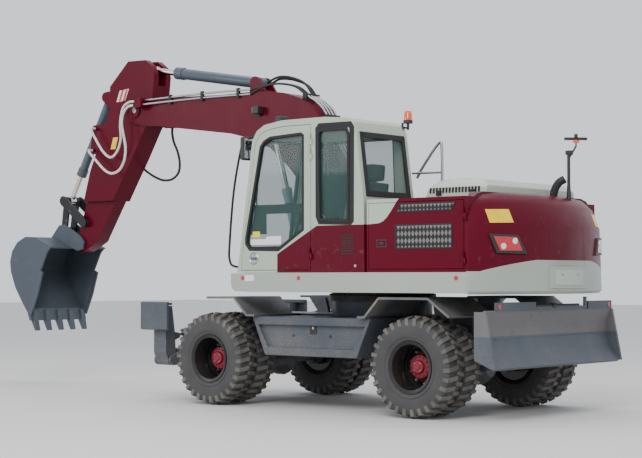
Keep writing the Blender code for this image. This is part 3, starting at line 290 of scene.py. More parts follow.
maroon = painted("maroon_paint", "maroon", MAROON, 0.34, 0.04, 0.04, shine=0.10)
pale = painted("pale_paint", "pale_grey", PALE, 0.36, 0.25, 0.15)
skirt = painted("skirt_paint", "pale_grey", SKIRT, 0.38, 0.45, 0.10)
cab_paint = painted("cab_two_tone", "pale_grey", PALE, 0.34, 0.04, 0.05, 0.0, MAROON, cab_line, 0.12)
tail_paint = painted("tail_two_tone", "maroon", SKIRT, 0.34, 0.06, 0.05, 0.0, MAROON, tail_line, 0.12)
chassis_paint = painted("blue_grey_paint", "chassis_grey", BLUE_GREY, 0.42, 0.9, 0.05, 0.36)
blade_paint = painted("blade_paint", "chassis_grey", (0.066, 0.080, 0.102), 0.48, 0.5, 0.0, 0.36,
                      (0.125, 0.122, 0.128), blade_band)
bucket_paint = painted("bucket_paint", "chassis_grey", (0.060, 0.076, 0.096), 0.46, 0.25, 0.0, 0.34)
black_paint = painted("black_paint", "black_steel", (0.014, 0.014, 0.016), 0.45, 0.8, 0.0, 0.40)
crimson = painted("hub_paint", "crimson", (0.21, 0.006, 0.022), 0.42, 0.25, 0.05, 0.40)
rim_paint = painted("rim_paint", "dark_paint", (0.010, 0.010, 0.011), 0.28, 0.12, 0.2)
cylinder_paint = painted("cylinder_paint", "steel_blue", (0.066, 0.088, 0.108), 0.35, 0.2, 0.10, 0.38)
white_paint = painted("white_paint", "white_paint", (0.75, 0.75, 0.73), 0.40, 0.2, 0.0)
print("paints ready")

# %% [markdown]
# ## Rubber, chrome, glass and plastics
# Tyre walls are grey with dust, and the tops of their lugs are paler still. The rods are hard
# chrome with a fine grain. Glass is a thin green-grey pane that mostly lets light through: it
# uses alpha and not transmission, since a pane this thin hardly bends the light. Braid, mesh and
# chequer plate come from crossing sine waves, which stay crisp at any distance.

# %% Other finishes
def rubber(name, slot, colour, dusty, tint):
    finish = Finish(name, slot, colour, 0.82)
    mask = ((finish.noise(5.0, 6.0) - 0.30) * dusty + (finish.noise(70.0, 3.0) - 0.5) * 0.5).within()
    finish.feed("Base Color", finish.blend(mask, rgba(colour), rgba(tint)))
    finish.feed("Roughness", (mask * 0.15 + 0.74).within())
    finish.bump(finish.noise(120.0, 5.0), 0.35, 0.002)
    return finish


def metal(name, slot, colour, roughness, metallic=1.0):
    finish = Finish(name, slot, colour, roughness, metallic)
    finish.feed("Roughness", finish.noise(45.0, 4.0) * 0.14 + (roughness - 0.05))
    finish.feed("Base Color", finish.blend(finish.noise(6.0, 3.0), rgba(colour, 0.82), rgba(colour)))
    finish.bump(finish.noise(260.0, 2.0), 0.05, 0.0004)
    return finish


def plastic(name, slot, colour, roughness, grain=220.0, coat=0.0):
    finish = Finish(name, slot, colour, roughness)
    finish.feed("Base Color", finish.blend(finish.noise(12.0, 4.0), rgba(colour, 0.75), rgba(colour, 1.15)))
    finish.feed("Roughness", (finish.noise(25.0, 3.0) * 0.2 + (roughness - 0.1)).within())
    finish.shader.inputs["Coat Weight"].default_value = coat
    finish.bump(finish.noise(grain, 2.0), 0.15, 0.0006)
    return finish


def woven(name, slot, colour, threads, light):
    """A cloth or braid with crossing threads."""
    finish = Finish(name, slot, colour, 0.9)
    waves = [finish.axis(letter).maths("MULTIPLY", threads).maths("SINE") for letter in "XYZ"]
    cross = waves[0] * waves[2] + waves[1] * 0.5
    mask = (cross * 0.35 + finish.noise(30.0, 3.0)).within()
    finish.feed("Base Color", finish.blend(mask, rgba(colour), rgba(light)))
    finish.bump(cross, 0.4, 0.001)
    return finish


def meshed(name, slot, plate, holes_per_metre):
    """A plate with staggered holes, with painted shade where the eye looks through them."""
    finish = Finish(name, slot, plate, 0.45, 0.4)
    turn = holes_per_metre * math.tau
    wave_a = ((finish.axis("X") + finish.axis("Z") * 0.62) * turn).maths("SINE")
    wave_b = ((finish.axis("X") - finish.axis("Z") * 0.62) * turn).maths("SINE")
    shaded_hole = ((wave_a * wave_b * 4.0) + 0.9).within()
    shade = finish.blend(finish.noise(4.0, 4.0), rgba(plate, 0.7), rgba(plate, 1.2))
    # The holes are near-black painted shade: the dark seen through a perforated plate.
    finish.feed("Base Color", finish.blend(shaded_hole, shade, (0.012, 0.012, 0.013, 1.0)))
    finish.bump(1.0 - shaded_hole, 0.5, 0.003)
    return finish


def glazed(name, slot, colour, alpha):
    finish = Finish(name, slot, colour, 0.04)
    finish.shader.inputs["Alpha"].default_value = alpha
    finish.shader.inputs["IOR"].default_value = 1.5
    finish.feed("Roughness", finish.noise(3.0, 5.0) * 0.06 + 0.02)
    return finish


def treaded(name, slot, colour):
    """Chequer plate: short bars that stand crosswise to each other, under dust."""
    finish = Finish(name, slot, colour, 0.45, 0.1)
    step = 26.0 * math.tau
    wave_a = ((finish.axis("X") + finish.axis("Y")) * step).maths("SINE")
    wave_b = ((finish.axis("X") - finish.axis("Y")) * step).maths("SINE")
    bars = (wave_a * wave_b * 3.0 - 0.6).within()
    dusty = (finish.noise(4.0, 5.0) * 1.3 - 0.3).within() * (1.0 - bars * 0.7)
    finish.feed("Base Color", finish.blend(dusty, rgba(colour), rgba(DUST, 0.7)))
    finish.bump(bars, 0.5, 0.003)
    return finish


tyre_wall = rubber("tyre_wall", "rubber", (0.042, 0.042, 0.044), 1.0, (0.092, 0.088, 0.084))
tyre_lug = rubber("tyre_lug", "tread_dust", (0.070, 0.066, 0.062), 1.9, (0.185, 0.172, 0.152))
hose_rubber = rubber("hose_rubber", "hose", (0.012, 0.012, 0.013), 0.5, (0.05, 0.048, 0.045))
seal_rubber = rubber("seal_rubber", "hose", (0.010, 0.010, 0.011), 0.3, (0.04, 0.04, 0.04))
sleeve_braid = woven("sleeve_braid", "sleeve", (0.50, 0.49, 0.45), 1500.0, (0.80, 0.79, 0.75))
seat_cloth = woven("seat_cloth", "cloth", (0.016, 0.016, 0.018), 1200.0, (0.06, 0.06, 0.065))
chrome = metal("rod_chrome", "chrome", (0.78, 0.74, 0.69), 0.14)
steel = metal("bare_steel", "bright_steel", (0.42, 0.42, 0.42), 0.32)
mirror_glass = metal("mirror_glass", "mirror", (0.8, 0.82, 0.83), 0.05)
black_plastic = plastic("black_plastic", "black_plastic", (0.018, 0.018, 0.019), 0.5)
grey_plastic = plastic("grey_plastic", "black_plastic", (0.085, 0.095, 0.105), 0.45)
red_lens = plastic("red_lens", "red_lens", (0.48, 0.004, 0.006), 0.15, 90.0, 0.8)
clear_lens = plastic("clear_lens", "white_paint", (0.75, 0.68, 0.66), 0.12, 90.0, 0.8)
amber_lens = plastic("amber_lens", "amber_lens", (0.85, 0.085, 0.0), 0.15, 90.0, 0.8)
yellow_decal = plastic("yellow_decal", "yellow_decal", (0.85, 0.58, 0.0), 0.35, 300.0)
vent_mesh = meshed("vent_mesh", "bright_steel", (0.17, 0.17, 0.16), 11.0)
chequer = treaded("chequer_plate", "chassis_grey", BLUE_GREY)
pane = glazed("window_pane", "glass", (0.05, 0.13, 0.12), 0.24)
print("finishes ready")

# %% [markdown]
# ## Shapes from bmesh operators
# Each helper starts from one of Blender's primitives or from a few vertices, and an operator does
# the rest. Shapes could be cut from each other with Booleans, but these small parts only sit on
# one another, so plain overlaps are enough. A finished piece keeps its object at the origin, with
# its place in its mesh, so that patterns stay where they are.

# %% Helpers for shapes
SHARP_ANGLE = math.radians(38)


def add_block(bm, x, y, z):
    """A box between two values on each axis."""
    middle = Vector(((x[0] + x[1]) / 2 + AHEAD, (y[0] + y[1]) / 2, (z[0] + z[1]) / 2))
    size = Matrix.Diagonal((x[1] - x[0], y[1] - y[0], z[1] - z[0], 1.0))
    return bmesh.ops.create_cube(bm, size=1.0, matrix=Matrix.Translation(middle) @ size)["verts"]


def add_rod(bm, start, end, radius, sides=20, end_radius=None):
    start = Vector(start) + Vector((AHEAD, 0, 0))
    end = Vector(end) + Vector((AHEAD, 0, 0))
    way = end - start
    turn = way.to_track_quat("Z", "Y").to_matrix().to_4x4()
    far_radius = radius if end_radius is None else end_radius
    return bmesh.ops.create_cone(
        bm, cap_ends=True, segments=sides, radius1=radius, radius2=far_radius, depth=way.length,
        matrix=Matrix.Translation((start + end) / 2) @ turn)["verts"]


def add_plate(bm, outline, axis, low, high):
    """A flat outline, extruded along an axis. The outline is (y, z), (x, z) or (x, y)."""
    spots = {"x": lambda a, b: (low + AHEAD, a, b), "y": lambda a, b: (a + AHEAD, low, b),
             "z": lambda a, b: (a + AHEAD, b, low)}[axis]
    face = bm.faces.new([bm.verts.new(spots(a, b)) for a, b in outline])
    grown = bmesh.ops.extrude_face_region(bm, geom=[face])["geom"]
    step = Vector((0, 0, 0))
    step["xyz".index(axis)] = high - low
    moving = [item for item in grown if isinstance(item, bmesh.types.BMVert)]
    bmesh.ops.translate(bm, verts=moving, vec=step)
    return moving


def drawn_in(outline, width):
    """The same outline, moved inwards by one width along each of its sides."""
    area = sum(p[0] * q[1] - q[0] * p[1] for p, q in zip(outline, outline[1:] + outline[:1]))
    way = 1 if area > 0 else -1
    inner = []
    for before, here, after in zip(outline[-1:] + outline[:-1], outline, outline[1:] + outline[:1]):
        first = Vector((here[0] - before[0], here[1] - before[1])).normalized()
        second = Vector((after[0] - here[0], after[1] - here[1])).normalized()
        bisector = (Vector((-first.y, first.x)) + Vector((-second.y, second.x))) * way
        reach = width * 2 / max(bisector.length_squared, 0.8)
        inner.append((here[0] + bisector.x * reach, here[1] + bisector.y * reach))
    return inner


def add_frame(bm, outline, axis, low, high, width):
    """A closed border of one width inside an outline, such as a window's rubber."""
    spots = {"x": lambda a, b, at: (at + AHEAD, a, b), "y": lambda a, b, at: (a + AHEAD, at, b),
             "z": lambda a, b, at: (a + AHEAD, b, at)}[axis]
    inner = drawn_in(outline, width)
    loops = [[bm.verts.new(spots(a, b, at)) for a, b in line]
             for line, at in ((outline, low), (outline, high), (inner, high), (inner, low))]
    for first, second in zip(loops, loops[1:] + loops[:1]):
        for i in range(len(outline)):
            j = (i + 1) % len(outline)
            bm.faces.new((first[i], first[j], second[j], second[i]))


def add_turned(bm, profile, centre, axis=(0, 1, 0), steps=40):
    """A profile of (radius, along) spun about an axis through the centre."""
    verts = [bm.verts.new((radius, 0, along)) for radius, along in profile]
    pairs = list(zip(verts, verts[1:]))
    if all(radius > 0 for radius, _ in profile):
        pairs.append((verts[-1], verts[0]))
    edges = [bm.edges.new(pair) for pair in pairs]
    bmesh.ops.spin(bm, geom=verts + edges, cent=(0, 0, 0), axis=(0, 0, 1), angle=math.tau,
                   steps=steps, use_merge=True)
    loose = set(verts)
    stack = list(verts)
    while stack:
        for edge in stack.pop().link_edges:
            for other in edge.verts:
                if other not in loose:
                    loose.add(other)
                    stack.append(other)
    loose = list(loose)
    turn = Vector(axis).to_track_quat("Z", "Y").to_matrix().to_4x4()
    spot = Matrix.Translation(Vector(centre) + Vector((AHEAD, 0, 0)))
    bmesh.ops.transform(bm, matrix=spot @ turn, verts=loose)
    bmesh.ops.remove_doubles(bm, verts=loose, dist=0.00002)


def piece(bm, name, finish, body, soften=0.0, replaces=(), more=()):
    """Turns a bmesh into a finished piece that rides on a body."""
    bmesh.ops.recalc_face_normals(bm, faces=bm.faces)
    mesh = bpy.data.meshes.new(name)
    bm.to_mesh(mesh)
    bm.free()
    for item in (finish, *more):
        mesh.materials.append(item.material)
    mesh.shade_smooth()
    mesh.set_sharp_from_angle(angle=SHARP_ANGLE)
    obj = bpy.data.objects.new(name, mesh)
    bpy.context.scene.collection.objects.link(obj)
    if soften:
        bevel = obj.modifiers.new("soften", "BEVEL")
        bevel.width = soften
        bevel.segments = 2
        bevel.limit_method = "ANGLE"
        bevel.angle_limit = SHARP_ANGLE
        bevel.harden_normals = True
    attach(obj, body)
    if replaces:
        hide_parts(*replaces)
    return obj


def refined(node, finish, body, soften=0.006):
    """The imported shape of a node, merged and with its edges softened, in its real paint."""
    bm = bmesh.new()
    bm.from_mesh(frame["nodes"][node].data)
    bmesh.ops.remove_doubles(bm, verts=bm.verts, dist=0.00001)
    bmesh.ops.dissolve_limit(bm, angle_limit=math.radians(0.5), verts=bm.verts, edges=bm.edges)
    return piece(bm, node + "_body", finish, body, soften, (node,))


print("helpers ready")

# %% [markdown]
# ## The free hoses come first
# At the elbow, three hoses leave the boom's fittings and go into the arm's. They hang in a
# loop, so that the arm can swing out without pulling them. A bevelled curve would give the same
# tube, but rings of vertices follow the route's own points. Each hose is a round tube along a
# smooth line through a few points, and it bends between the two bodies.

# %% Hoses at the elbow
HOSE_RADIUS = 0.016
SLEEVE_SHORT = [(3.62, 0.240, 3.660), (3.68, 0.240, 3.660), (3.77, 0.241, 3.655), (3.86, 0.245, 3.60),
                (3.90, 0.25, 3.48), (3.90, 0.26, 3.34), (3.89, 0.26, 3.20), (3.95, 0.26, 3.05),
                (4.08, 0.25, 2.97), (4.22, 0.25, 3.04), (4.36, 0.25, 3.20), (4.46, 0.245, 3.33),
                (4.485, 0.225, 3.365), (4.49, 0.19, 3.37), (4.49, 0.16, 3.37)]
SLEEVE_LONG = [(3.62, 0.285, 3.605), (3.67, 0.285, 3.605), (3.74, 0.286, 3.59), (3.81, 0.29, 3.52),
               (3.83, 0.30, 3.40), (3.80, 0.30, 3.25), (3.76, 0.30, 3.08), (3.78, 0.30, 2.92),
               (3.88, 0.29, 2.80), (4.03, 0.28, 2.76), (4.18, 0.27, 2.81), (4.34, 0.26, 2.93),
               (4.48, 0.25, 3.04), (4.535, 0.225, 3.085), (4.54, 0.19, 3.09), (4.54, 0.16, 3.09)]
BLACK_LOOP = [(3.46, -0.235, 3.34), (3.46, -0.235, 3.27), (3.43, -0.235, 3.16), (3.37, -0.24, 3.04),
              (3.33, -0.24, 2.90), (3.35, -0.24, 2.77), (3.46, -0.24, 2.69), (3.62, -0.24, 2.68),
              (3.78, -0.24, 2.73), (3.92, -0.24, 2.80), (3.985, -0.235, 2.845), (4.00, -0.215, 2.86),
              (4.00, -0.18, 2.86)]


def smooth_line(points, each=8):
    """A smooth line through points, read at even steps of each span."""
    knots = [Vector(p) + Vector((AHEAD, 0, 0)) for p in points]
    ends = [knots[0] * 2 - knots[1]] + knots + [knots[-1] * 2 - knots[-2]]
    line = []
    for a, b, c, d in zip(ends, ends[1:], ends[2:], ends[3:]):
        for i in range(each):
            t = i / each
            line.append(0.5 * (2 * b + (c - a) * t + (2 * a - 5 * b + 4 * c - d) * t * t
                               + (3 * b - a - 3 * c + d) * t ** 3))
    return line + [knots[-1]]


def add_tube(bm, line, radius, sides=12):
    """A round tube along a line: rings that keep their turn from one point to the next."""
    rings = []
    way = (line[1] - line[0]).normalized()
    side = way.orthogonal().normalized()
    for i, point in enumerate(line):
        ahead = line[min(i + 1, len(line) - 1)] - line[max(i - 1, 0)]
        way = ahead.normalized()
        side = (side - way * side.dot(way)).normalized()
        ring = bmesh.ops.create_circle(bm, cap_ends=False, segments=sides, radius=radius)["verts"]
        turn = Matrix((side, way.cross(side), way)).transposed().to_4x4()
        bmesh.ops.transform(bm, matrix=Matrix.Translation(point) @ turn, verts=ring)
        rings.append(ring)
    for first, second in zip(rings, rings[1:]):
        for i in range(sides):
            j = (i + 1) % sides
            bm.faces.new((first[i], first[j], second[j], second[i]))
    bm.faces.new(list(reversed(rings[0])))
    bm.faces.new(rings[-1])


def free_hose(name, points, finish, node):
    line = smooth_line(points, 5)
    length = sum((b - a).length for a, b in zip(line, line[1:]))
    bm = bmesh.new()
    add_tube(bm, line, HOSE_RADIUS)
    obj = piece(bm, name, finish, "boom", 0.0, (node,))
    obj.parent = None
    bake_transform(obj, "boom", "arm", start=line[0], end=line[-1])
    print(name, round(length, 3))


free_hose("short_sleeved_hose", SLEEVE_SHORT, sleeve_braid, "sleeve_hose_short")
free_hose("long_sleeved_hose", SLEEVE_LONG, sleeve_braid, "sleeve_hose_long")
free_hose("black_elbow_hose", BLACK_LOOP, hose_rubber, "black_hose")

# %% [markdown]
# ## Every body in its paint
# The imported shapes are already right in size, so these bodies aren't modelled again. Each one in
# the list is copied, its edges are rounded a little so that they catch the light, and it gets its
# real paint. The lift cylinders, the axles, the knuckles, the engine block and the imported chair
# aren't in the list, and keep the plain look they were packed with.

# %% Painted bodies
BODIES = [
    ("chassis_frame", chassis_paint, "chassis", 0.006), ("side_box_left", chassis_paint, "chassis", 0.010),
    ("side_box_right", chassis_paint, "chassis", 0.010), ("blade", blade_paint, "blade", 0.005),
    ("blade_lower_link", black_paint, "blade_lower_link", 0.004),
    ("blade_upper_link", black_paint, "blade_upper_link", 0.004),
    ("blade_cylinder", chassis_paint, "blade_cylinder", 0.003),
    ("blade_rod", chrome, "blade_rod", 0.002), ("boom", maroon, "boom", 0.006), ("arm", maroon, "arm", 0.005),
    ("boom_rod_left", chrome, "boom_rods", 0.002), ("boom_rod_right", chrome, "boom_rods", 0.002),
    ("arm_cylinder", cylinder_paint, "arm_cylinder", 0.003), ("arm_rod", chrome, "arm_rod", 0.002),
    ("bucket_cylinder", cylinder_paint, "bucket_cylinder", 0.003),
    ("bucket_rod", chrome, "bucket_rod", 0.002),
    ("bucket", bucket_paint, "bucket", 0.004), ("bucket_rocker", black_paint, "bucket_rocker", 0.004),
    ("bucket_link", black_paint, "bucket_link", 0.004), ("upper_frame", skirt, "upper", 0.005),
    ("counterweight", tail_paint, "upper", 0.012), ("engine_bay", maroon, "upper", 0.003),
    ("right_tank", maroon, "upper", 0.010), ("engine_hood", pale, "engine_hood", 0.010),
    ("cab_shell", cab_paint, "upper", 0.006), ("cab_door", cab_paint, "cab_door", 0.004),
]
for side, _ in SIDES:
    BODIES += [("service_door_" + side, maroon, "service_door_" + side, 0.004),
               ("outrigger_leg_" + side, chassis_paint, "outrigger_leg_" + side, 0.005),
               ("outrigger_cylinder_" + side, chassis_paint, "outrigger_cylinder_" + side, 0.003),
               ("outrigger_rod_" + side, chrome, "outrigger_rod_" + side, 0.002)]
    for end in ("front", "rear"):
        BODIES.append((f"fender_{end}_{side}", chequer, "chassis", 0.003))
known = set(frame["nodes"])
print("not in the model:", [node for node, *_ in BODIES if node not in known])
for node, finish, body, soften in BODIES:
    if node in known:
        refined(node, finish, body, soften)
print("left as packed:", sorted(known - {node for node, *_ in BODIES}))

# %% [markdown]
# ## Wheels
# The tyre is a spun carcass with chunky lugs in two staggered rows. The lugs could be a bump, but
# they stand out against the floor, so each is a small block of its own. The rim shows a double
# edge and a ring of nuts, and the hub in its middle is crimson. Twin tyres turn as one wheel.

# %% Tyres, rims and hubs
AXLE_HEIGHT = 0.5205
WHEEL_X = {"front": 1.40, "rear": -1.40}
TYRE_PROFILE = [(0.262, -0.112), (0.300, -0.128), (0.360, -0.135), (0.420, -0.134), (0.458, -0.126),
                (0.482, -0.112), (0.490, -0.060), (0.492, 0.0), (0.490, 0.060), (0.482, 0.112),
                (0.458, 0.126), (0.420, 0.134), (0.360, 0.135), (0.300, 0.128), (0.262, 0.112)]
LUGS = 30
TWIN_Y = (1.10, 0.79)
RIM_BOLTS_RADIUS = 0.176
HUB_BOLTS_RADIUS = 0.100
CAP_BOLTS_RADIUS = 0.050


def add_lug(bm, centre, turn, tread_side):
    """One lug: a slanting block across half of the tread that runs down the shoulder."""
    outline = [(0.003, -0.012), (0.134, -0.046), (0.137, 0.004), (0.003, 0.038)]
    levels = ((0.478, 1.0), (0.5195, 0.84))
    rings = []
    for radius, keep in levels:
        ring = []
        for along, around in outline:
            drop = 0.026 if along > 0.1 and keep < 1 else 0.0
            reach = radius - drop if keep < 1 else radius - (0.055 if along > 0.1 else 0.0)
            angle = turn + (around * keep) / 0.50
            ring.append(bm.verts.new((centre[0] + AHEAD + math.sin(angle) * reach,
                                      centre[1] + tread_side * along, centre[2] + math.cos(angle) * reach)))
        rings.append(ring)
    for i in range(4):
        j = (i + 1) % 4
        bm.faces.new((rings[0][i], rings[0][j], rings[1][j], rings[1][i]))
    bm.faces.new(rings[1])
    bm.faces.new(list(reversed(rings[0])))


def bolt_circle(end, count, radius, shift=0.5):
    """Places (x, z) of bolts around a wheel's axis."""
    turns = [(i + shift) * math.tau / count for i in range(count)]
    return [(WHEEL_X[end] + math.cos(turn) * radius, AXLE_HEIGHT + math.sin(turn) * radius) for turn in turns]


def make_wheel(end, side_name, side):
    body = f"wheel_{end}_{side_name}"
    walls, lugs, rims, hubs, nuts, dark = (bmesh.new() for _ in range(6))
    for y in TWIN_Y:
        spot = (WHEEL_X[end], side * y, AXLE_HEIGHT)
        add_turned(walls, TYRE_PROFILE, spot, steps=72)
        for out in (1, -1):
            add_turned(walls, [(0.300, out * 0.126), (0.312, out * 0.1375), (0.322, out * 0.128)], spot,
                       steps=72)
            for i in range(LUGS):
                add_lug(lugs, spot, (i + (0.5 if out > 0 else 0.0)) * math.tau / LUGS, out)
        add_turned(rims, [(0.268, 0.128), (0.272, 0.118), (0.262, 0.108), (0.240, 0.100), (0.228, 0.060),
                          (0.226, 0.0), (0.228, -0.060), (0.240, -0.100), (0.262, -0.108), (0.272, -0.118),
                          (0.268, -0.128), (0.256, -0.122), (0.232, -0.112), (0.216, -0.060), (0.214, 0.0),
                          (0.216, 0.060), (0.232, 0.112), (0.256, 0.122)], spot, steps=64)
    face = (WHEEL_X[end], 0.0, AXLE_HEIGHT)
    outward = (0, side, 0)
    add_turned(rims, [(0.221, 0.905), (0.221, 0.990), (0.206, 0.998), (0.186, 0.960), (0.172, 0.945),
                      (0.060, 0.945), (0.060, 0.905)], face, outward, 64)
    add_turned(rims, [(0.198, 0.994), (0.204, 1.012), (0.214, 1.012), (0.220, 0.992)], face, outward, 64)
    add_turned(rims, [(0.221, 0.690), (0.221, 0.735), (0.060, 0.735), (0.060, 0.690)], face, outward, 48)
    add_turned(hubs, [(0.0, 1.100), (0.030, 1.099), (0.034, 1.090), (0.062, 1.088), (0.068, 1.080),
                      (0.070, 1.060), (0.118, 1.052), (0.126, 1.042), (0.128, 0.965), (0.148, 0.958),
                      (0.150, 0.946), (0.150, 0.720), (0.0, 0.720)], face, outward, 56)
    for x, z in bolt_circle(end, 10, RIM_BOLTS_RADIUS):
        add_rod(nuts, (x, side * 0.944, z), (x, side * 0.966, z), 0.0165, 6)
        add_rod(nuts, (x, side * 0.965, z), (x, side * 0.982, z), 0.0085, 10)
    for x, z in bolt_circle(end, 12, HUB_BOLTS_RADIUS, 0.0):
        add_rod(hubs, (x, side * 1.046, z), (x, side * 1.066, z), 0.0095, 6)
    for x, z in bolt_circle(end, 4, CAP_BOLTS_RADIUS):
        add_rod(dark, (x, side * 1.084, z), (x, side * 1.0925, z), 0.006, 6)
    piece(walls, body + "_tyres", tyre_wall, body, 0.0, OWNED[body + "_tyres"])
    piece(lugs, body + "_lugs", tyre_lug, body, 0.003)
    piece(rims, body + "_rims", rim_paint, body, 0.0, OWNED[body + "_rims"])
    piece(hubs, body + "_hub", crimson, body, 0.002, OWNED[body + "_hub"])
    piece(nuts, body + "_nuts", steel, body)
    piece(dark, body + "_hub_bolts", steel, body)


OWNED = {}
for end in WHEEL_X:
    for side_name, _ in SIDES:
        body = f"wheel_{end}_{side_name}"
        mine = [node for node in frame["nodes"] if body_of(frame["nodes"][node]) == [body]]
        for part in ("tyres", "rims", "hub"):
            key = {"tyres": "tyre", "rims": "rim", "hub": "hub"}[part]
            OWNED[f"{body}_{part}"] = [node for node in mine if key in node]
        print(body, mine)
for end in WHEEL_X:
    for side_name, side in SIDES:
        make_wheel(end, side_name, side)

# %% [markdown]
# ## Glass, seals and trim of the cab
# Each opening gets a black seal and a thin pane. A pane has its seal's outline, so both come from
# one list of corners. The front and rear walls lean, so a plate there is a block whose two faces
# are slid along the wall. The door has a dark band along its sill and two blank labels in its
# lower corner.

# %% Windows
DOOR_WINDOW = [(0.83, 1.79), (0.77, 1.72), (0.34, 1.71), (-0.02, 1.93), (-0.02, 2.95), (0.02, 2.98),
               (0.47, 2.96), (0.56, 2.92), (0.615, 2.86), (0.83, 1.86)]
SIDE_WINDOW = [(-0.22, 2.06), (-0.25, 2.02), (-0.64, 2.00), (-0.645, 2.92), (-0.61, 3.00), (-0.24, 3.00),
               (-0.20, 2.95)]
FAR_WINDOW = [(-0.62, 2.00), (0.70, 2.00), (0.58, 2.86), (0.50, 2.95), (-0.58, 2.95)]
WINDOWS = [
    ("door_window", DOOR_WINDOW, "y", 1.205, 1.215, "cab_door"),
    ("side_window", SIDE_WINDOW, "y", 1.215, 1.225, "upper"),
    ("far_window", FAR_WINDOW, "y", 0.375, 0.385, "upper"),
]
for name, outline, axis, low, high, body in WINDOWS:
    bm = bmesh.new()
    add_plate(bm, outline, axis, low, high)
    piece(bm, name + "_pane", pane, body)
    bm = bmesh.new()
    add_frame(bm, outline, axis, low - 0.006, high + (0.034 if low > 1 else 0.006), 0.030)
    piece(bm, name + "_seal", seal_rubber, body, 0.003)


def rear_x(z):
    """The slanted rear wall's outer face at a height."""
    return -0.83 + (z - 2.20) * 0.10 / 0.75


def front_x(z):
    """The sloping front's outer face at a height."""
    return 0.945 - (z - 1.48) * 0.22 / 1.45


def slanted(bm, y, z, at, out, thick):
    """A plate over a rectangle of a slanted wall."""
    verts = add_block(bm, (0, 1), y, z)
    for vert in verts:
        far = vert.co.x - AHEAD > 0.5
        vert.co.x = at(vert.co.z) + (out + thick if far else out) + AHEAD


bm = bmesh.new()
slanted(bm, (0.44, 1.17), (2.29, 2.93), rear_x, 0.010, 0.008)
piece(bm, "rear_pane", pane, "upper")
bm = bmesh.new()
for y, z in (((0.44, 1.17), (2.27, 2.33)), ((0.44, 1.17), (2.89, 2.95)), ((0.42, 0.475), (2.27, 2.95)),
             ((1.135, 1.19), (2.27, 2.95))):
    slanted(bm, y, z, rear_x, -0.012, 0.022)
piece(bm, "rear_window_seal", seal_rubber, "upper", 0.004)
bm = bmesh.new()
slanted(bm, (0.43, 1.17), (1.62, 2.95), front_x, -0.030, 0.008)
piece(bm, "front_pane", pane, "upper")
bm = bmesh.new()
for y, z in (((0.42, 1.18), (1.61, 1.65)), ((0.42, 1.18), (2.92, 2.96)), ((0.42, 0.46), (1.61, 2.96)),
             ((1.14, 1.18), (1.61, 2.96)), ((0.45, 1.15), (2.20, 2.225))):
    slanted(bm, y, z, front_x, -0.040, 0.036)
piece(bm, "front_window_seal", seal_rubber, "upper", 0.004)
bm = bmesh.new()
add_plate(bm, [(0.80, 1.765), (0.34, 1.765), (0.00, 1.965), (-0.02, 1.93), (0.34, 1.71), (0.77, 1.72)],
          "y", 1.2155, 1.232)
add_block(bm, (-0.015, 0.735), (1.190, 1.203), (2.12, 2.22))
add_plate(bm, [(0.56, 1.90), (0.795, 1.90), (0.735, 2.13), (0.56, 2.13)], "y", 1.190, 1.203)
piece(bm, "door_sill_band", seal_rubber, "cab_door", 0.003)
bm = bmesh.new()
add_plate(bm, [(0.33, 1.785), (0.77, 1.785), (0.77, 1.845), (0.56, 1.845), (0.53, 1.875), (0.33, 1.875)],
          "y", 1.2155, 1.2175)
piece(bm, "door_label_white", white_paint, "cab_door")
bm = bmesh.new()
add_block(bm, (0.635, 0.742), (1.2155, 1.2175), (1.868, 1.931))
piece(bm, "door_label_yellow", yellow_decal, "cab_door")
print("windows ready")

# %% [markdown]
# ## Cab fittings
# Eight louvres, whose gaps are black strips of painted shade, the side window's surround, the lock,
# the round recess of the door handle, a wiper, a roof lamp, an amber beacon on its stalk, and the
# tall black rail in front of the cab that carries a mirror. What is round is turned or a tube, and
# what is pressed is a soft block.

# %% Cab fittings
slots, metal_bits = bmesh.new(), bmesh.new()
# The louvres' gaps are thin black strips of seal rubber, standing in as painted shade.
for i in range(8):
    z = 1.675 + i * 0.0275
    add_block(slots, (-0.70, -0.53), (1.238, 1.2475), (z - 0.006, z + 0.006))
add_rod(metal_bits, (-0.722, 1.242, 1.548), (-0.722, 1.252, 1.548), 0.016, 20)
add_rod(metal_bits, (-0.722, 1.250, 1.548), (-0.722, 1.254, 1.548), 0.007, 12)
add_frame(slots, [(-0.185, 2.07), (-0.225, 1.99), (-0.665, 1.975), (-0.70, 2.01), (-0.705, 3.00),
                  (-0.665, 3.055), (-0.225, 3.060), (-0.180, 3.01)], "y", 1.2435, 1.250, 0.060)
piece(slots, "cab_louvres", seal_rubber, "upper")
piece(metal_bits, "cab_lock", steel, "upper", 0.001)
door_bits, door_metal = bmesh.new(), bmesh.new()
add_turned(door_bits, [(0.0, 1.2475), (0.052, 1.2475), (0.060, 1.254), (0.068, 1.2475), (0.068, 1.236),
                       (0.0, 1.236)], (0.70, 0, 1.635), (0, 1, 0), 40)
add_block(door_metal, (0.665, 0.735), (1.250, 1.260), (1.622, 1.648))
piece(door_bits, "door_handle_recess", steel, "cab_door")
piece(door_metal, "door_handle_grip", grey_plastic, "cab_door", 0.004)
bm = bmesh.new()
line = smooth_line([(0.70, 1.0, 2.97), (0.76, 1.06, 2.86), (0.83, 1.07, 2.35), (0.865, 0.96, 2.15)], 5)
add_tube(bm, line, 0.007, 8)
line = smooth_line([(0.84, 1.02, 2.50), (0.90, 1.00, 2.06), (0.905, 0.99, 2.03)], 3)
add_tube(bm, line, 0.005, 8)
piece(bm, "wiper", black_plastic, "upper")
bm = bmesh.new()
add_block(bm, (0.46, 0.55), (0.93, 1.07), (3.112, 3.20))
add_rod(bm, (0.505, 1.0, 3.09), (0.505, 1.0, 3.13), 0.02, 12)
piece(bm, "roof_lamp_box", black_plastic, "upper", 0.010)
bm = bmesh.new()
add_block(bm, (0.549, 0.556), (0.945, 1.055), (3.125, 3.188))
piece(bm, "roof_lamp_glass", clear_lens, "upper", 0.003)
bm = bmesh.new()
add_rod(bm, (-0.70, 0.40, 2.90), (-0.70, 0.40, 3.10), 0.013, 12)
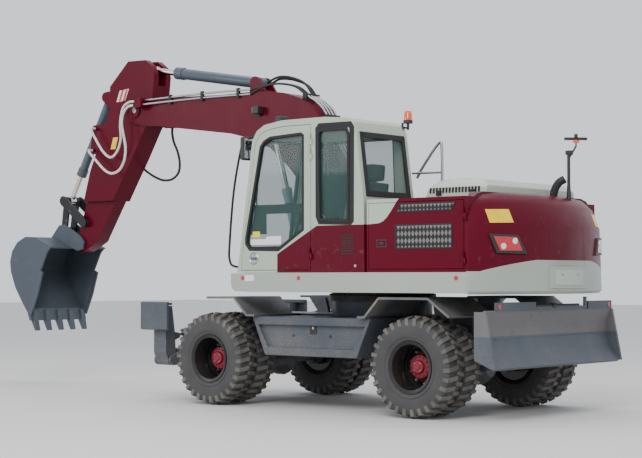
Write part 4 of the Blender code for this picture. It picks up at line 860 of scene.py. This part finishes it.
add_rod(bm, (-0.70, 0.30, 3.05), (-0.70, 0.40, 3.05), 0.011, 12)
add_rod(bm, (-0.70, 0.30, 3.03), (-0.70, 0.30, 3.12), 0.014, 12)
add_rod(bm, (-0.70, 0.30, 3.10), (-0.70, 0.30, 3.135), 0.052, 24)
piece(bm, "beacon_stalk", black_plastic, "upper", 0.002)
bm = bmesh.new()
add_turned(bm, [(0.0, 0.105), (0.030, 0.100), (0.043, 0.078), (0.046, 0.0), (0.0, 0.0)], (-0.70, 0.30, 3.135),
           (0, 0, 1), 32)
piece(bm, "beacon_lens", amber_lens, "upper")
bm = bmesh.new()
rail = [(0.66, 1.12, 2.97), (0.80, 1.14, 2.985), (0.93, 1.15, 2.93), (0.987, 1.15, 2.84), (1.092, 1.15, 2.38),
        (1.155, 1.15, 1.78), (1.150, 1.15, 1.62), (1.10, 1.14, 1.555), (0.93, 1.12, 1.54)]
add_tube(bm, smooth_line(rail, 6), 0.013, 12)
piece(bm, "front_rail", black_paint, "upper")
bm = bmesh.new()
add_block(bm, (0.86, 0.925), (1.075, 1.235), (2.725, 2.985))
piece(bm, "mirror_shell", black_plastic, "upper", 0.020)
bm = bmesh.new()
add_block(bm, (0.856, 0.861), (1.090, 1.220), (2.745, 2.965))
piece(bm, "mirror_face", mirror_glass, "upper", 0.001)
print("cab fittings ready")

# %% [markdown]
# ## Inside the cab
# A padded chair on its base, two consoles with their levers, and a steering wheel on a raked
# column. Cushions could be swollen by a cloth simulation. Behind tinted glass, rounded boxes that
# are smoothed by subdivision are enough.

# %% Interior
CUSHION_ROUND = 0.28


def cushion(name, x, y, z, lean=0.0):
    bm = bmesh.new()
    add_block(bm, x, y, z)
    thinnest = min(x[1] - x[0], y[1] - y[0], z[1] - z[0])
    bmesh.ops.bevel(bm, geom=bm.edges[:], offset=thinnest * CUSHION_ROUND, segments=2,
                    profile=0.5, affect="EDGES", material=-1)
    if lean:
        low = min(v.co.z for v in bm.verts)
        for vert in bm.verts:
            vert.co.x -= (vert.co.z - low) * lean
    obj = piece(bm, name, seat_cloth, "upper")
    round_off = obj.modifiers.new("round_off", "SUBSURF")
    round_off.levels = 2
    round_off.render_levels = 2


CHAIR_Y = 0.805
cushion("seat_cushion", (-0.50, 0.05), (CHAIR_Y - 0.25, CHAIR_Y + 0.25), (1.70, 1.845))
cushion("seat_back", (-0.575, -0.455), (CHAIR_Y - 0.235, CHAIR_Y + 0.235), (1.83, 2.44), 0.16)
cushion("head_rest", (-0.68, -0.58), (CHAIR_Y - 0.13, CHAIR_Y + 0.13), (2.45, 2.63), 0.10)
bm = bmesh.new()
add_block(bm, (-0.43, 0.0), (CHAIR_Y - 0.20, CHAIR_Y + 0.20), (1.535, 1.70))
add_rod(bm, (-0.60, CHAIR_Y - 0.05, 2.38), (-0.63, CHAIR_Y - 0.05, 2.50), 0.008, 10)
add_rod(bm, (-0.60, CHAIR_Y + 0.05, 2.38), (-0.63, CHAIR_Y + 0.05, 2.50), 0.008, 10)
for way in (-1, 1):
    y = CHAIR_Y + way * 0.315
    add_block(bm, (-0.42, 0.12), (y - 0.055, y + 0.055), (1.90, 1.99))
    add_block(bm, (-0.30, -0.14), (y - 0.045, y + 0.045), (1.535, 1.92))
piece(bm, "chair_base", grey_plastic, "upper", 0.014)
bm = bmesh.new()
for way in (-1, 1):
    y = CHAIR_Y + way * 0.315
    add_rod(bm, (0.06, y, 1.98), (0.075, y, 2.10), 0.010, 12)
    add_rod(bm, (0.073, y, 2.08), (0.085, y, 2.19), 0.024, 16, 0.019)
add_rod(bm, (0.55, CHAIR_Y, 1.53), (0.40, CHAIR_Y, 2.14), 0.038, 16, 0.028)
add_block(bm, (0.47, 0.62), (CHAIR_Y - 0.12, CHAIR_Y + 0.12), (1.53, 1.62))
add_block(bm, (0.66, 0.72), (0.44, 0.56), (2.00, 2.22))
piece(bm, "column_and_levers", black_plastic, "upper", 0.004)
bm = bmesh.new()
STEERING_RADIUS = 0.185
GRIP_RADIUS = 0.014
rake = Matrix.Rotation(math.radians(-24), 4, "Y")
tilt = Matrix.Translation((0.385 + AHEAD, CHAIR_Y, 2.17)) @ rake
turns = [a * math.tau / 10 for a in range(10)]
grip = [(STEERING_RADIUS + math.cos(turn) * GRIP_RADIUS, math.sin(turn) * GRIP_RADIUS) for turn in turns]
add_turned(bm, grip, (-AHEAD, 0, 0), (0, 0, 1), 40)
for i in range(3):
    turn = i * math.tau / 3
    add_rod(bm, (-AHEAD, 0, -0.02), (-AHEAD + math.cos(turn) * 0.18, math.sin(turn) * 0.18, 0.0), 0.011, 8)
add_rod(bm, (-AHEAD, 0, -0.05), (-AHEAD, 0, 0.0), 0.035, 16)
bmesh.ops.transform(bm, matrix=tilt, verts=bm.verts)
piece(bm, "steering_wheel", black_plastic, "upper")
print("interior ready")

# %% [markdown]
# ## Trim of the upper body
# Grilles, lamps and labels are thin pieces on the painted shells. The rear lamps stand in dark
# slanting bezels on the round of the tail, and a yellow blank plate sits above each. The tail is
# round and leans, so a patch is a grid of points that one function lays on it, where a projected
# flat plate would sink in at its ends.

# %% Tail and sides
TAIL_RADIUS = 2.42
SLEW_X = -0.12
HALF = 1.245


def on_tail(degrees, z, out, side=1):
    """A point on the round of the tail, some distance out of it."""
    reach = TAIL_RADIUS + out
    if z > 1.95:
        reach -= 0.02 + (z - 1.95) * 0.38
    else:
        reach -= max(0.0, (z - 1.29)) * 0.02 / 0.66
    a = math.radians(degrees)
    return Vector((SLEW_X - math.cos(a) * reach + AHEAD, side * math.sin(a) * reach, z))


def add_tail_patch(bm, corners, out, thick, side, across=8, down=2):
    """A patch laid on the round tail between four corners, given as (degrees, z)."""
    grids = []
    for layer in (out, out + thick):
        grid = []
        for i in range(across + 1):
            t = i / across
            top = [a + (b - a) * t for a, b in zip(corners[0], corners[1])]
            low = [a + (b - a) * t for a, b in zip(corners[3], corners[2])]
            spots = [[a + (b - a) * j / down for a, b in zip(top, low)] for j in range(down + 1)]
            grid.append([bm.verts.new(on_tail(*spot, layer, side)) for spot in spots])
        grids.append(grid)
    inner, outer = grids
    for i in range(across):
        for j in range(down):
            bm.faces.new((outer[i][j], outer[i + 1][j], outer[i + 1][j + 1], outer[i][j + 1]))
            bm.faces.new((inner[i][j + 1], inner[i + 1][j + 1], inner[i + 1][j], inner[i][j]))
    around = ([(i, 0) for i in range(across)] + [(across, j) for j in range(down)]
              + [(i, down) for i in range(across, 0, -1)] + [(0, j) for j in range(down, 0, -1)])
    for (i, j), (k, m) in zip(around, around[1:] + around[:1]):
        bm.faces.new((outer[i][j], outer[k][m], inner[k][m], inner[i][j]))


LAMP = [(27.0, 1.858), (18.7, 1.848), (16.1, 1.660), (24.9, 1.668)]
for side_name, side in SIDES:
    bm = bmesh.new()
    add_tail_patch(bm, LAMP, -0.004, 0.024, side)
    piece(bm, "lamp_bezel_" + side_name, black_plastic, "upper", 0.004)
    bm = bmesh.new()
    add_tail_patch(bm, [(25.8, 1.834), (19.2, 1.826), (17.7, 1.692), (24.1, 1.690)], 0.018, 0.008, side)
    piece(bm, "lamp_red_" + side_name, red_lens, "upper", 0.003)
    lens, ring = bmesh.new(), bmesh.new()
    for degrees, z in ((19.9, 1.788), (23.2, 1.736)):
        spot = on_tail(degrees, z, 0.020, side)
        way = Vector((-math.cos(math.radians(degrees)), side * math.sin(math.radians(degrees)), 0))
        spot.x -= AHEAD
        add_rod(lens, spot, spot + way * 0.012, 0.028, 24)
        add_rod(ring, spot, spot + way * 0.009, 0.032, 24)
    piece(lens, "lamp_clear_" + side_name, clear_lens, "upper", 0.004)
    piece(ring, "lamp_rings_" + side_name, chrome, "upper", 0.001)
    bm = bmesh.new()
    add_tail_patch(bm, [(27.0, 2.100), (20.2, 2.106), (19.6, 1.972), (26.4, 1.966)], 0.001, 0.002, side, 8, 4)
    piece(bm, "tail_decal_" + side_name, yellow_decal, "upper")
    bm = bmesh.new()
    for x in (0.867, 0.057, -1.986):
        add_rod(bm, (x, side * (HALF - 0.002), 1.422), (x, side * (HALF + 0.006), 1.422), 0.024, 24)
    piece(bm, "side_reflectors_" + side_name, red_lens, "upper", 0.002)
    bm = bmesh.new()
    near, far = sorted((side * (HALF - 0.001), side * (HALF + 0.0015)))
    add_block(bm, (0.70, 0.835), (near, far), (1.39, 1.455))
    piece(bm, "side_labels_" + side_name, white_paint, "upper")
    bm = bmesh.new()
    for outline in ([(-1.93, 1.73), (-1.25, 1.73), (-1.25, 1.95), (-1.93, 1.95)],
                    [(-1.925, 2.105), (-1.275, 2.100), (-1.305, 2.165), (-1.965, 2.165)]):
        add_plate(bm, outline, "y", side * 1.2435, side * 1.2475)
    piece(bm, "side_mesh_" + side_name, vent_mesh, "service_door_" + side_name)
    bm = bmesh.new()
    add_frame(bm, [(-1.945, 1.715), (-1.235, 1.715), (-1.235, 1.965), (-1.945, 1.965)], "y", side * 1.243,
              side * 1.250, 0.015)
    add_frame(bm, [(-1.945, 2.092), (-1.255, 2.087), (-1.293, 2.177), (-1.985, 2.177)], "y", side * 1.243,
              side * 1.250, 0.012)
    piece(bm, "side_grille_" + side_name, seal_rubber, "service_door_" + side_name, 0.001)
    bm = bmesh.new()
    add_frame(bm, [(-1.13, 1.735), (-1.00, 1.735), (-1.00, 1.815), (-1.13, 1.815)], "y", side * 1.243,
              side * 1.2495, 0.012)
    add_block(bm, (-1.095, -1.035), (side * 1.244, side * 1.252), (1.762, 1.788))
    piece(bm, "latch_" + side_name, black_plastic, "service_door_" + side_name, 0.002)
bm = bmesh.new()
curve = [(-0.897, 2.187), (-1.247, 2.187), (-1.184, 2.104), (-1.133, 2.044), (-1.085, 2.005), (-1.03, 1.984),
         (-0.897, 1.975)]
add_plate(bm, curve, "y", 1.2445, 1.2465)
piece(bm, "door_corner_patch", pale, "service_door_left")
bm = bmesh.new()
add_plate(bm, [(-0.893, 1.975), (-0.872, 1.975), (-0.872, 2.229), (-1.283, 2.229), (-1.251, 2.192),
               (-0.893, 2.192)], "y", 1.2445, 1.2465)
piece(bm, "bay_corner_patch", pale, "upper")
bm = bmesh.new()
add_plate(bm, [(0.78, 1.275), (0.985, 1.275), (1.03, 1.305), (1.048, 1.36), (1.048, 1.474), (0.78, 1.474)],
          "y", 0.45, 1.2446)
piece(bm, "skirt_nose", skirt, "upper", 0.006)
bm = bmesh.new()
add_tail_patch(bm, [(8.6, 1.540), (-8.6, 1.540), (-8.6, 1.318), (8.6, 1.318)], 0.001, 0.005, 1, 10, 4)
piece(bm, "recess_cover", skirt, "upper")
bm = bmesh.new()
add_tail_patch(bm, [(6.4, 1.505), (-6.4, 1.505), (-6.4, 1.350), (6.4, 1.350)], 0.006, 0.004, 1, 10, 4)
piece(bm, "blank_plate", pale, "upper")
bm = bmesh.new()
for degrees in (-3.6, 3.6):
    spot = on_tail(degrees, 1.455, 0.008) - Vector((AHEAD, 0, 0))
    add_rod(bm, spot, spot - Vector((0.008, 0, 0)), 0.011, 12)
piece(bm, "blank_plate_bolts", steel, "upper", 0.001)
print("tail ready")

# %% [markdown]
# ## Things that stand on the deck
# A handrail behind the cab, hood latches and slots, a bent exhaust, and a slim post with the rear
# camera and a lamp. On the right, a rail runs along the tank, which has two caps and gripping
# strips on its steps. Bent rails are tubes along a smooth line, which needs no mitred corners.

# %% Deck fittings
bm = bmesh.new()
add_tube(bm, smooth_line([(-1.15, 0.30, 2.225), (-1.15, 0.30, 2.78), (-1.11, 0.30, 2.86), (-0.90, 0.30, 2.62),
                          (-0.82, 0.30, 2.50)], 6), 0.015, 12)
add_rod(bm, (-1.15, 0.30, 2.55), (-0.80, 0.36, 2.55), 0.012, 12)
add_rod(bm, (-1.15, 0.30, 2.225), (-1.15, 0.30, 2.245), 0.035, 16)
piece(bm, "deck_rail", steel, "upper")
bm = bmesh.new()
add_tube(bm, smooth_line([(0.86, -1.17, 1.49), (0.86, -1.17, 2.25), (0.78, -1.17, 2.34), (0.0, -1.17, 2.36),
                          (-0.62, -1.17, 2.36), (-0.72, -1.17, 2.30), (-0.72, -1.17, 2.225)], 8), 0.016, 12)
add_rod(bm, (0.05, -1.17, 2.22), (0.05, -1.17, 2.36), 0.014, 12)
piece(bm, "tank_rail", black_paint, "upper")
bm = bmesh.new()
add_rod(bm, (-2.30, -0.38, 2.19), (-2.30, -0.38, 2.42), 0.030, 16, 0.017)
add_rod(bm, (-2.30, -0.38, 2.40), (-2.30, -0.38, 2.75), 0.017, 12)
add_block(bm, (-2.34, -2.27), (-0.41, -0.36), (2.72, 2.765))
add_rod(bm, (-2.30, -0.38, 2.68), (-2.36, -0.43, 2.81), 0.010, 10)
add_rod(bm, (-2.36, -0.43, 2.80), (-2.36, -0.43, 2.90), 0.008, 10)
add_plate(bm, [(-2.27, -0.35), (-2.25, -0.37), (-2.43, -0.53), (-2.45, -0.51)], "z", 2.875, 2.905)
add_block(bm, (-2.375, -2.345), (-0.445, -0.415), (2.90, 2.94))
piece(bm, "camera_post", black_plastic, "upper", 0.003)
bm = bmesh.new()
add_block(bm, (-2.385, -2.335), (-0.46, -0.41), (2.845, 2.876))
piece(bm, "post_lamp", amber_lens, "upper", 0.004)
bm = bmesh.new()
add_tube(bm, smooth_line([(-2.16, -0.30, 2.20), (-2.17, -0.30, 2.33), (-2.21, -0.32, 2.42),
                          (-2.27, -0.35, 2.465)], 6), 0.042, 20)
piece(bm, "exhaust", black_paint, "upper")
bm = bmesh.new()
# The sixteen vent slots are black blocks of painted shade, the dark inside the openings.
for i in range(16):
    x = -1.98 + i * 0.040
    add_block(bm, (x, x + 0.019), (0.79, 0.8215), (2.295, 2.350))
for x in (-1.90, -1.48):
    add_block(bm, (x - 0.03, x + 0.03), (0.815, 0.835), (2.27, 2.32))
piece(bm, "hood_trim", seal_rubber, "engine_hood", 0.002)
bm = bmesh.new()
add_block(bm, (-1.245, -0.90), (-0.88, -0.12), (2.229, 2.236))
piece(bm, "deck_mesh", vent_mesh, "upper")
bm = bmesh.new()
add_turned(bm, [(0.0, 0.05), (0.055, 0.048), (0.062, 0.03), (0.062, 0.0), (0.0, 0.0)], (-0.30, -0.85, 2.225),
           (0, 0, 1), 32)
add_turned(bm, [(0.0, 0.04), (0.04, 0.038), (0.045, 0.02), (0.045, 0.0), (0.0, 0.0)], (0.10, -0.65, 2.225),
           (0, 0, 1), 32)
piece(bm, "tank_caps", black_plastic, "upper", 0.001)
bm = bmesh.new()
for x in (-0.70, -0.30, 0.10):
    add_block(bm, (x, x + 0.30), (-1.13, -0.98), (2.2295, 2.2345))
for z in (1.83, 2.11):
    add_block(bm, (0.60, 0.86) if z < 2 else (0.42, 0.60), (-1.18, -0.46), (z - 0.03, z - 0.024))
piece(bm, "step_grip", chequer, "upper", 0.001)
print("deck ready")

# %% [markdown]
# ## Pipes and pins of the digging gear
# Two steel pipes run along the boom's left side and end where the sleeved hoses begin. Heads with
# keeper bolts close four of the pivots: the pins themselves are hidden, so only their heads are
# made. Warning stripes and a blank label lie on the arm, and a lamp on the boom.

# %% Digging gear
LEFT_PIPES = [
    [(1.70, 0.204, 3.665), (2.20, 0.204, 3.675), (2.70, 0.204, 3.675), (3.20, 0.210, 3.670),
     (3.60, 0.240, 3.66)],
    [(1.70, 0.204, 3.610), (2.20, 0.204, 3.622), (2.70, 0.204, 3.625), (3.20, 0.225, 3.618),
     (3.60, 0.285, 3.605)],
]
bm = bmesh.new()
for line in LEFT_PIPES:
    add_tube(bm, smooth_line(line, 10), 0.013, 12)
piece(bm, "boom_side_pipes", steel, "boom")
bm = bmesh.new()
for x, z in ((1.90, 3.642), (2.50, 3.650), (3.05, 3.648)):
    add_block(bm, (x - 0.022, x + 0.022), (0.188, 0.221), (z - 0.060, z + 0.056))
piece(bm, "boom_pipe_clamps", black_paint, "boom", 0.003)


def pin_head(bm, spot, radius, side, low, high):
    x, z = spot
    add_rod(bm, (x, side * low, z), (x, side * high, z), radius, 28)
    add_rod(bm, (x, side * high, z), (x, side * (high + 0.006), z), radius * 0.45, 20)


PINS = [("boom", (0.03, 1.80), 0.058, 0.19, 0.205), ("boom", (3.70, 3.55), 0.075, 0.185, 0.205),
        ("arm", (4.82, 1.87), 0.050, 0.085, 0.097), ("arm", (4.72, 2.15), 0.045, 0.088, 0.100)]
for number, (body, spot, radius, low, high) in enumerate(PINS):
    bm = bmesh.new()
    for _, side in SIDES:
        pin_head(bm, spot, radius, side, low, high)
    piece(bm, f"{body}_pin_heads_{number}", steel, body, 0.003)
stripe_red, stripe_white = bmesh.new(), bmesh.new()
for side in (LEFT, RIGHT):
    near, far = sorted((side * 0.1495, side * 0.1512))
    add_plate(stripe_white, [(3.86, 3.845), (4.03, 3.835), (4.09, 3.69), (3.93, 3.70)], "y", near, far)
    near, far = sorted((side * 0.1510, side * 0.1522))
    for shift in (0.0, 0.075):
        x = 3.875 + shift
        add_plate(stripe_red, [(x, 3.84), (x + 0.042, 3.837), (x + 0.102, 3.697), (x + 0.060, 3.70)],
                  "y", near, far)
piece(stripe_white, "arm_warning_white", white_paint, "arm")
piece(stripe_red, "arm_warning_red", red_lens, "arm")
bm = bmesh.new()
for side in (LEFT, RIGHT):
    near, far = sorted((side * 0.1495, side * 0.1512))
    add_plate(bm, [(4.06, 3.235), (4.15, 3.235), (4.20, 3.085), (4.11, 3.085)], "y", near, far)
piece(bm, "arm_yellow_label", yellow_decal, "arm")
bm = bmesh.new()
add_block(bm, (1.50, 1.60), (0.205, 0.30), (3.36, 3.45))
add_rod(bm, (1.55, 0.18, 3.34), (1.55, 0.25, 3.38), 0.014, 12)
piece(bm, "boom_lamp_box", black_plastic, "boom", 0.010)
bm = bmesh.new()
add_block(bm, (1.600, 1.607), (0.215, 0.290), (3.37, 3.44))
piece(bm, "boom_lamp_glass", clear_lens, "boom", 0.003)
print("digging gear ready")

# %% [markdown]
# ## Pipes over the boom's hump
# Four steel pipes climb the boom's back from its foot, and black hoses carry on from them over
# the hump: two to the arm's cylinder, and two to the pipes on the left side. One list of points
# follows the hump, and each pipe is that list at its own width.

# %% Boom back pipes and hoses
HUMP = [(0.05, 2.26), (0.30, 2.69), (0.62, 3.268), (0.76, 3.43), (0.93, 3.535)]
bm = bmesh.new()
for y in (-0.09, -0.03, 0.03, 0.09):
    add_tube(bm, smooth_line([(x - 0.012, y, z + 0.012) for x, z in HUMP], 6), 0.014, 10)
piece(bm, "boom_back_pipes", steel, "boom")
bm = bmesh.new()
for x, z in ((0.30, 2.69), (0.62, 3.268), (0.93, 3.535)):
    add_block(bm, (x - 0.03, x + 0.025), (-0.125, 0.125), (z - 0.06, z + 0.035))
piece(bm, "boom_back_clamps", black_paint, "boom", 0.003)
bm = bmesh.new()
for y, rise, end_x in ((-0.09, 0.13, 1.58), (-0.03, 0.17, 1.62)):
    route = [(0.92, y, 3.545), (1.05, y, 3.62 + rise * 0.5), (1.25, y * 0.8, 3.69 + rise * 0.6),
             (1.45, y * 0.6, 3.73 + rise * 0.5), (end_x, 0.03 + y, 3.76)]
    add_tube(bm, smooth_line(route, 8), 0.014, 10)
for y, drop in ((0.03, 0.0), (0.09, 0.055)):
    route = [(0.92, y, 3.545), (1.08, y + 0.02, 3.66), (1.28, 0.16, 3.705), (1.48, 0.198, 3.69),
             (1.71, 0.204, 3.665 - drop)]
    add_tube(bm, smooth_line(route, 8), 0.013, 10)
piece(bm, "boom_top_hoses", hose_rubber, "boom")

# %% [markdown]
# ## Collars on the cylinders
# The arm's and the bucket's cylinders end in a thicker gland where the rod comes out. The
# gland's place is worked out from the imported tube's box, so it follows the tube's real length.

# %% Cylinder trim
def add_collar(bm, base, eye, reach, length, radius):
    start = Vector((base[0], 0.0, base[1]))
    way = (Vector((eye[0], 0.0, eye[1])) - start).normalized()
    add_rod(bm, start + way * (reach - length), start + way * reach, radius, 32)


bm = bmesh.new()
ARM_BASE, ARM_EYE = (1.72, 3.76), (3.52, 4.065)
BUCKET_BASE, BUCKET_EYE = (4.36, 3.78), (5.12, 2.45)
arm_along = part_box("arm_cylinder")[1].x - AHEAD - ARM_BASE[0]
arm_reach = arm_along * math.dist(ARM_BASE, ARM_EYE) / (ARM_EYE[0] - ARM_BASE[0])
add_collar(bm, ARM_BASE, ARM_EYE, arm_reach - 0.004, 0.13, 0.078)
piece(bm, "arm_cylinder_gland", cylinder_paint, "arm_cylinder", 0.004)
bm = bmesh.new()
bucket_drop = BUCKET_BASE[1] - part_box("bucket_cylinder")[0].z
bucket_reach = bucket_drop * math.dist(BUCKET_BASE, BUCKET_EYE) / (BUCKET_BASE[1] - BUCKET_EYE[1])
add_collar(bm, BUCKET_BASE, BUCKET_EYE, bucket_reach - 0.012, 0.10, 0.068)
piece(bm, "bucket_cylinder_gland", cylinder_paint, "bucket_cylinder", 0.004)
print("arm tube", round(arm_reach, 3), "bucket tube", round(bucket_reach, 3))

# %% [markdown]
# ## Undercarriage trim
# Each side box gets two round caps and a lock on its plate. The blade carries a row of plates on
# its top edge, with red reflectors and a coupling for hoses. A flanged cover with a ring of bolts
# closes the slewing ring, spun from its section as the real one is turned.

# %% Undercarriage trim
PLATE_BACK = -2.318
PLATE_FACE = -2.298
PLATE_FOOT = 1.080
RING_BOLTS_RADIUS = 0.588
for side_name, side in SIDES:
    bm = bmesh.new()
    for x, z in ((-0.25, 0.80), (0.27, 0.80)):
        add_rod(bm, (x, side * 1.070, z), (x, side * 1.084, z), 0.018, 20)
    add_block(bm, (-0.06, 0.03), sorted((side * 1.070, side * 1.086)), (0.82, 0.95))
    piece(bm, "side_box_fittings_" + side_name, black_paint, "chassis", 0.003)
    bm = bmesh.new()
    add_rod(bm, (-0.015, side * 1.080, 0.885), (-0.015, side * 1.092, 0.885), 0.016, 20)
    piece(bm, "side_box_lock_" + side_name, steel, "chassis", 0.002)
bm = bmesh.new()
for y0, y1, top in ((0.30, 1.04, 1.180), (-1.24, -0.74, 1.180), (-0.71, -0.66, 1.225), (-0.66, 0.30, 1.130)):
    add_plate(bm, [(PLATE_BACK, PLATE_FOOT), (PLATE_FACE, PLATE_FOOT), (PLATE_FACE, top), (PLATE_BACK, top)],
              "y", y0, y1)
piece(bm, "blade_top_plates", chassis_paint, "blade", 0.003)
bm = bmesh.new()
for y in (0.98, -1.17):
    add_rod(bm, (-2.324, y, 1.135), (-2.318, y, 1.135), 0.026, 24)
piece(bm, "blade_reflectors", red_lens, "blade", 0.002)
bm = bmesh.new()
add_rod(bm, (-2.30, 0.29, 1.135), (-2.30, -0.56, 1.135), 0.020, 16)
add_rod(bm, (-2.30, -0.02, 1.135), (-2.30, -0.10, 1.135), 0.028, 16)
piece(bm, "blade_hose_coupling", black_plastic, "blade", 0.002)
bm = bmesh.new()
add_turned(bm, [(0.562, 1.172), (0.600, 1.172), (0.600, 1.230), (0.576, 1.240), (0.576, 1.268),
                (0.562, 1.268)],
           (SLEW_X, 0, 0), (0, 0, 1), 72)
for i in range(36):
    turn = i * math.tau / 36
    x, y = SLEW_X + math.cos(turn) * RING_BOLTS_RADIUS, math.sin(turn) * RING_BOLTS_RADIUS
    add_rod(bm, (x, y, 1.228), (x, y, 1.246), 0.011, 6)
piece(bm, "slew_ring_cover", black_paint, "upper")
print("undercarriage ready")

# %% [markdown]
# ## Floor and light
# A pale plain floor fades into a pale world. Three large soft lamps give open shade with a mild
# key light, as under a bright and slightly hazy sky. A sun lamp would throw hard shadows.

# %% Studio
def add_floor():
    bm = bmesh.new()
    bmesh.ops.create_grid(bm, x_segments=1, y_segments=1, size=60.0)
    mesh = bpy.data.meshes.new("floor")
    bm.to_mesh(mesh)
    bm.free()
    floor = bpy.data.objects.new("floor", mesh)
    bpy.context.scene.collection.objects.link(floor)
    stone = Finish("floor_tone", "white_paint", (0.62, 0.61, 0.59), 0.85)
    clouds = stone.blend(stone.noise(0.6, 5.0), (0.60, 0.59, 0.57, 1.0), (0.66, 0.65, 0.63, 1.0))
    stone.feed("Base Color", clouds)
    mesh.materials.append(stone.material)


def add_lamp(name, place, aim, size, energy, tint=(1.0, 1.0, 1.0)):
    data = bpy.data.lights.new(name, "AREA")
    data.shape = "RECTANGLE"
    data.size = size[0]
    data.size_y = size[1]
    data.energy = energy
    data.color = tint
    lamp = bpy.data.objects.new(name, data)
    lamp.location = place
    lamp.rotation_euler = (Vector(aim) - Vector(place)).to_track_quat("-Z", "Y").to_euler()
    bpy.context.scene.collection.objects.link(lamp)


add_floor()
add_lamp("key", (-7.0, 11.0, 9.5), (-0.5, 0.0, 1.6), (6.0, 5.0), 1150.0, (1.0, 0.98, 0.95))
add_lamp("fill", (9.0, 12.0, 6.0), (0.5, 0.0, 1.5), (7.0, 5.0), 420.0)
add_lamp("top", (0.0, -2.0, 12.0), (0.0, 0.0, 1.0), (9.0, 7.0), 520.0)
world = bpy.data.worlds.new("sky")
world.use_nodes = True
world.node_tree.nodes["Background"].inputs["Color"].default_value = (0.90, 0.93, 1.0, 1.0)
world.node_tree.nodes["Background"].inputs["Strength"].default_value = 1.15
bpy.context.scene.world = world
print("studio ready")
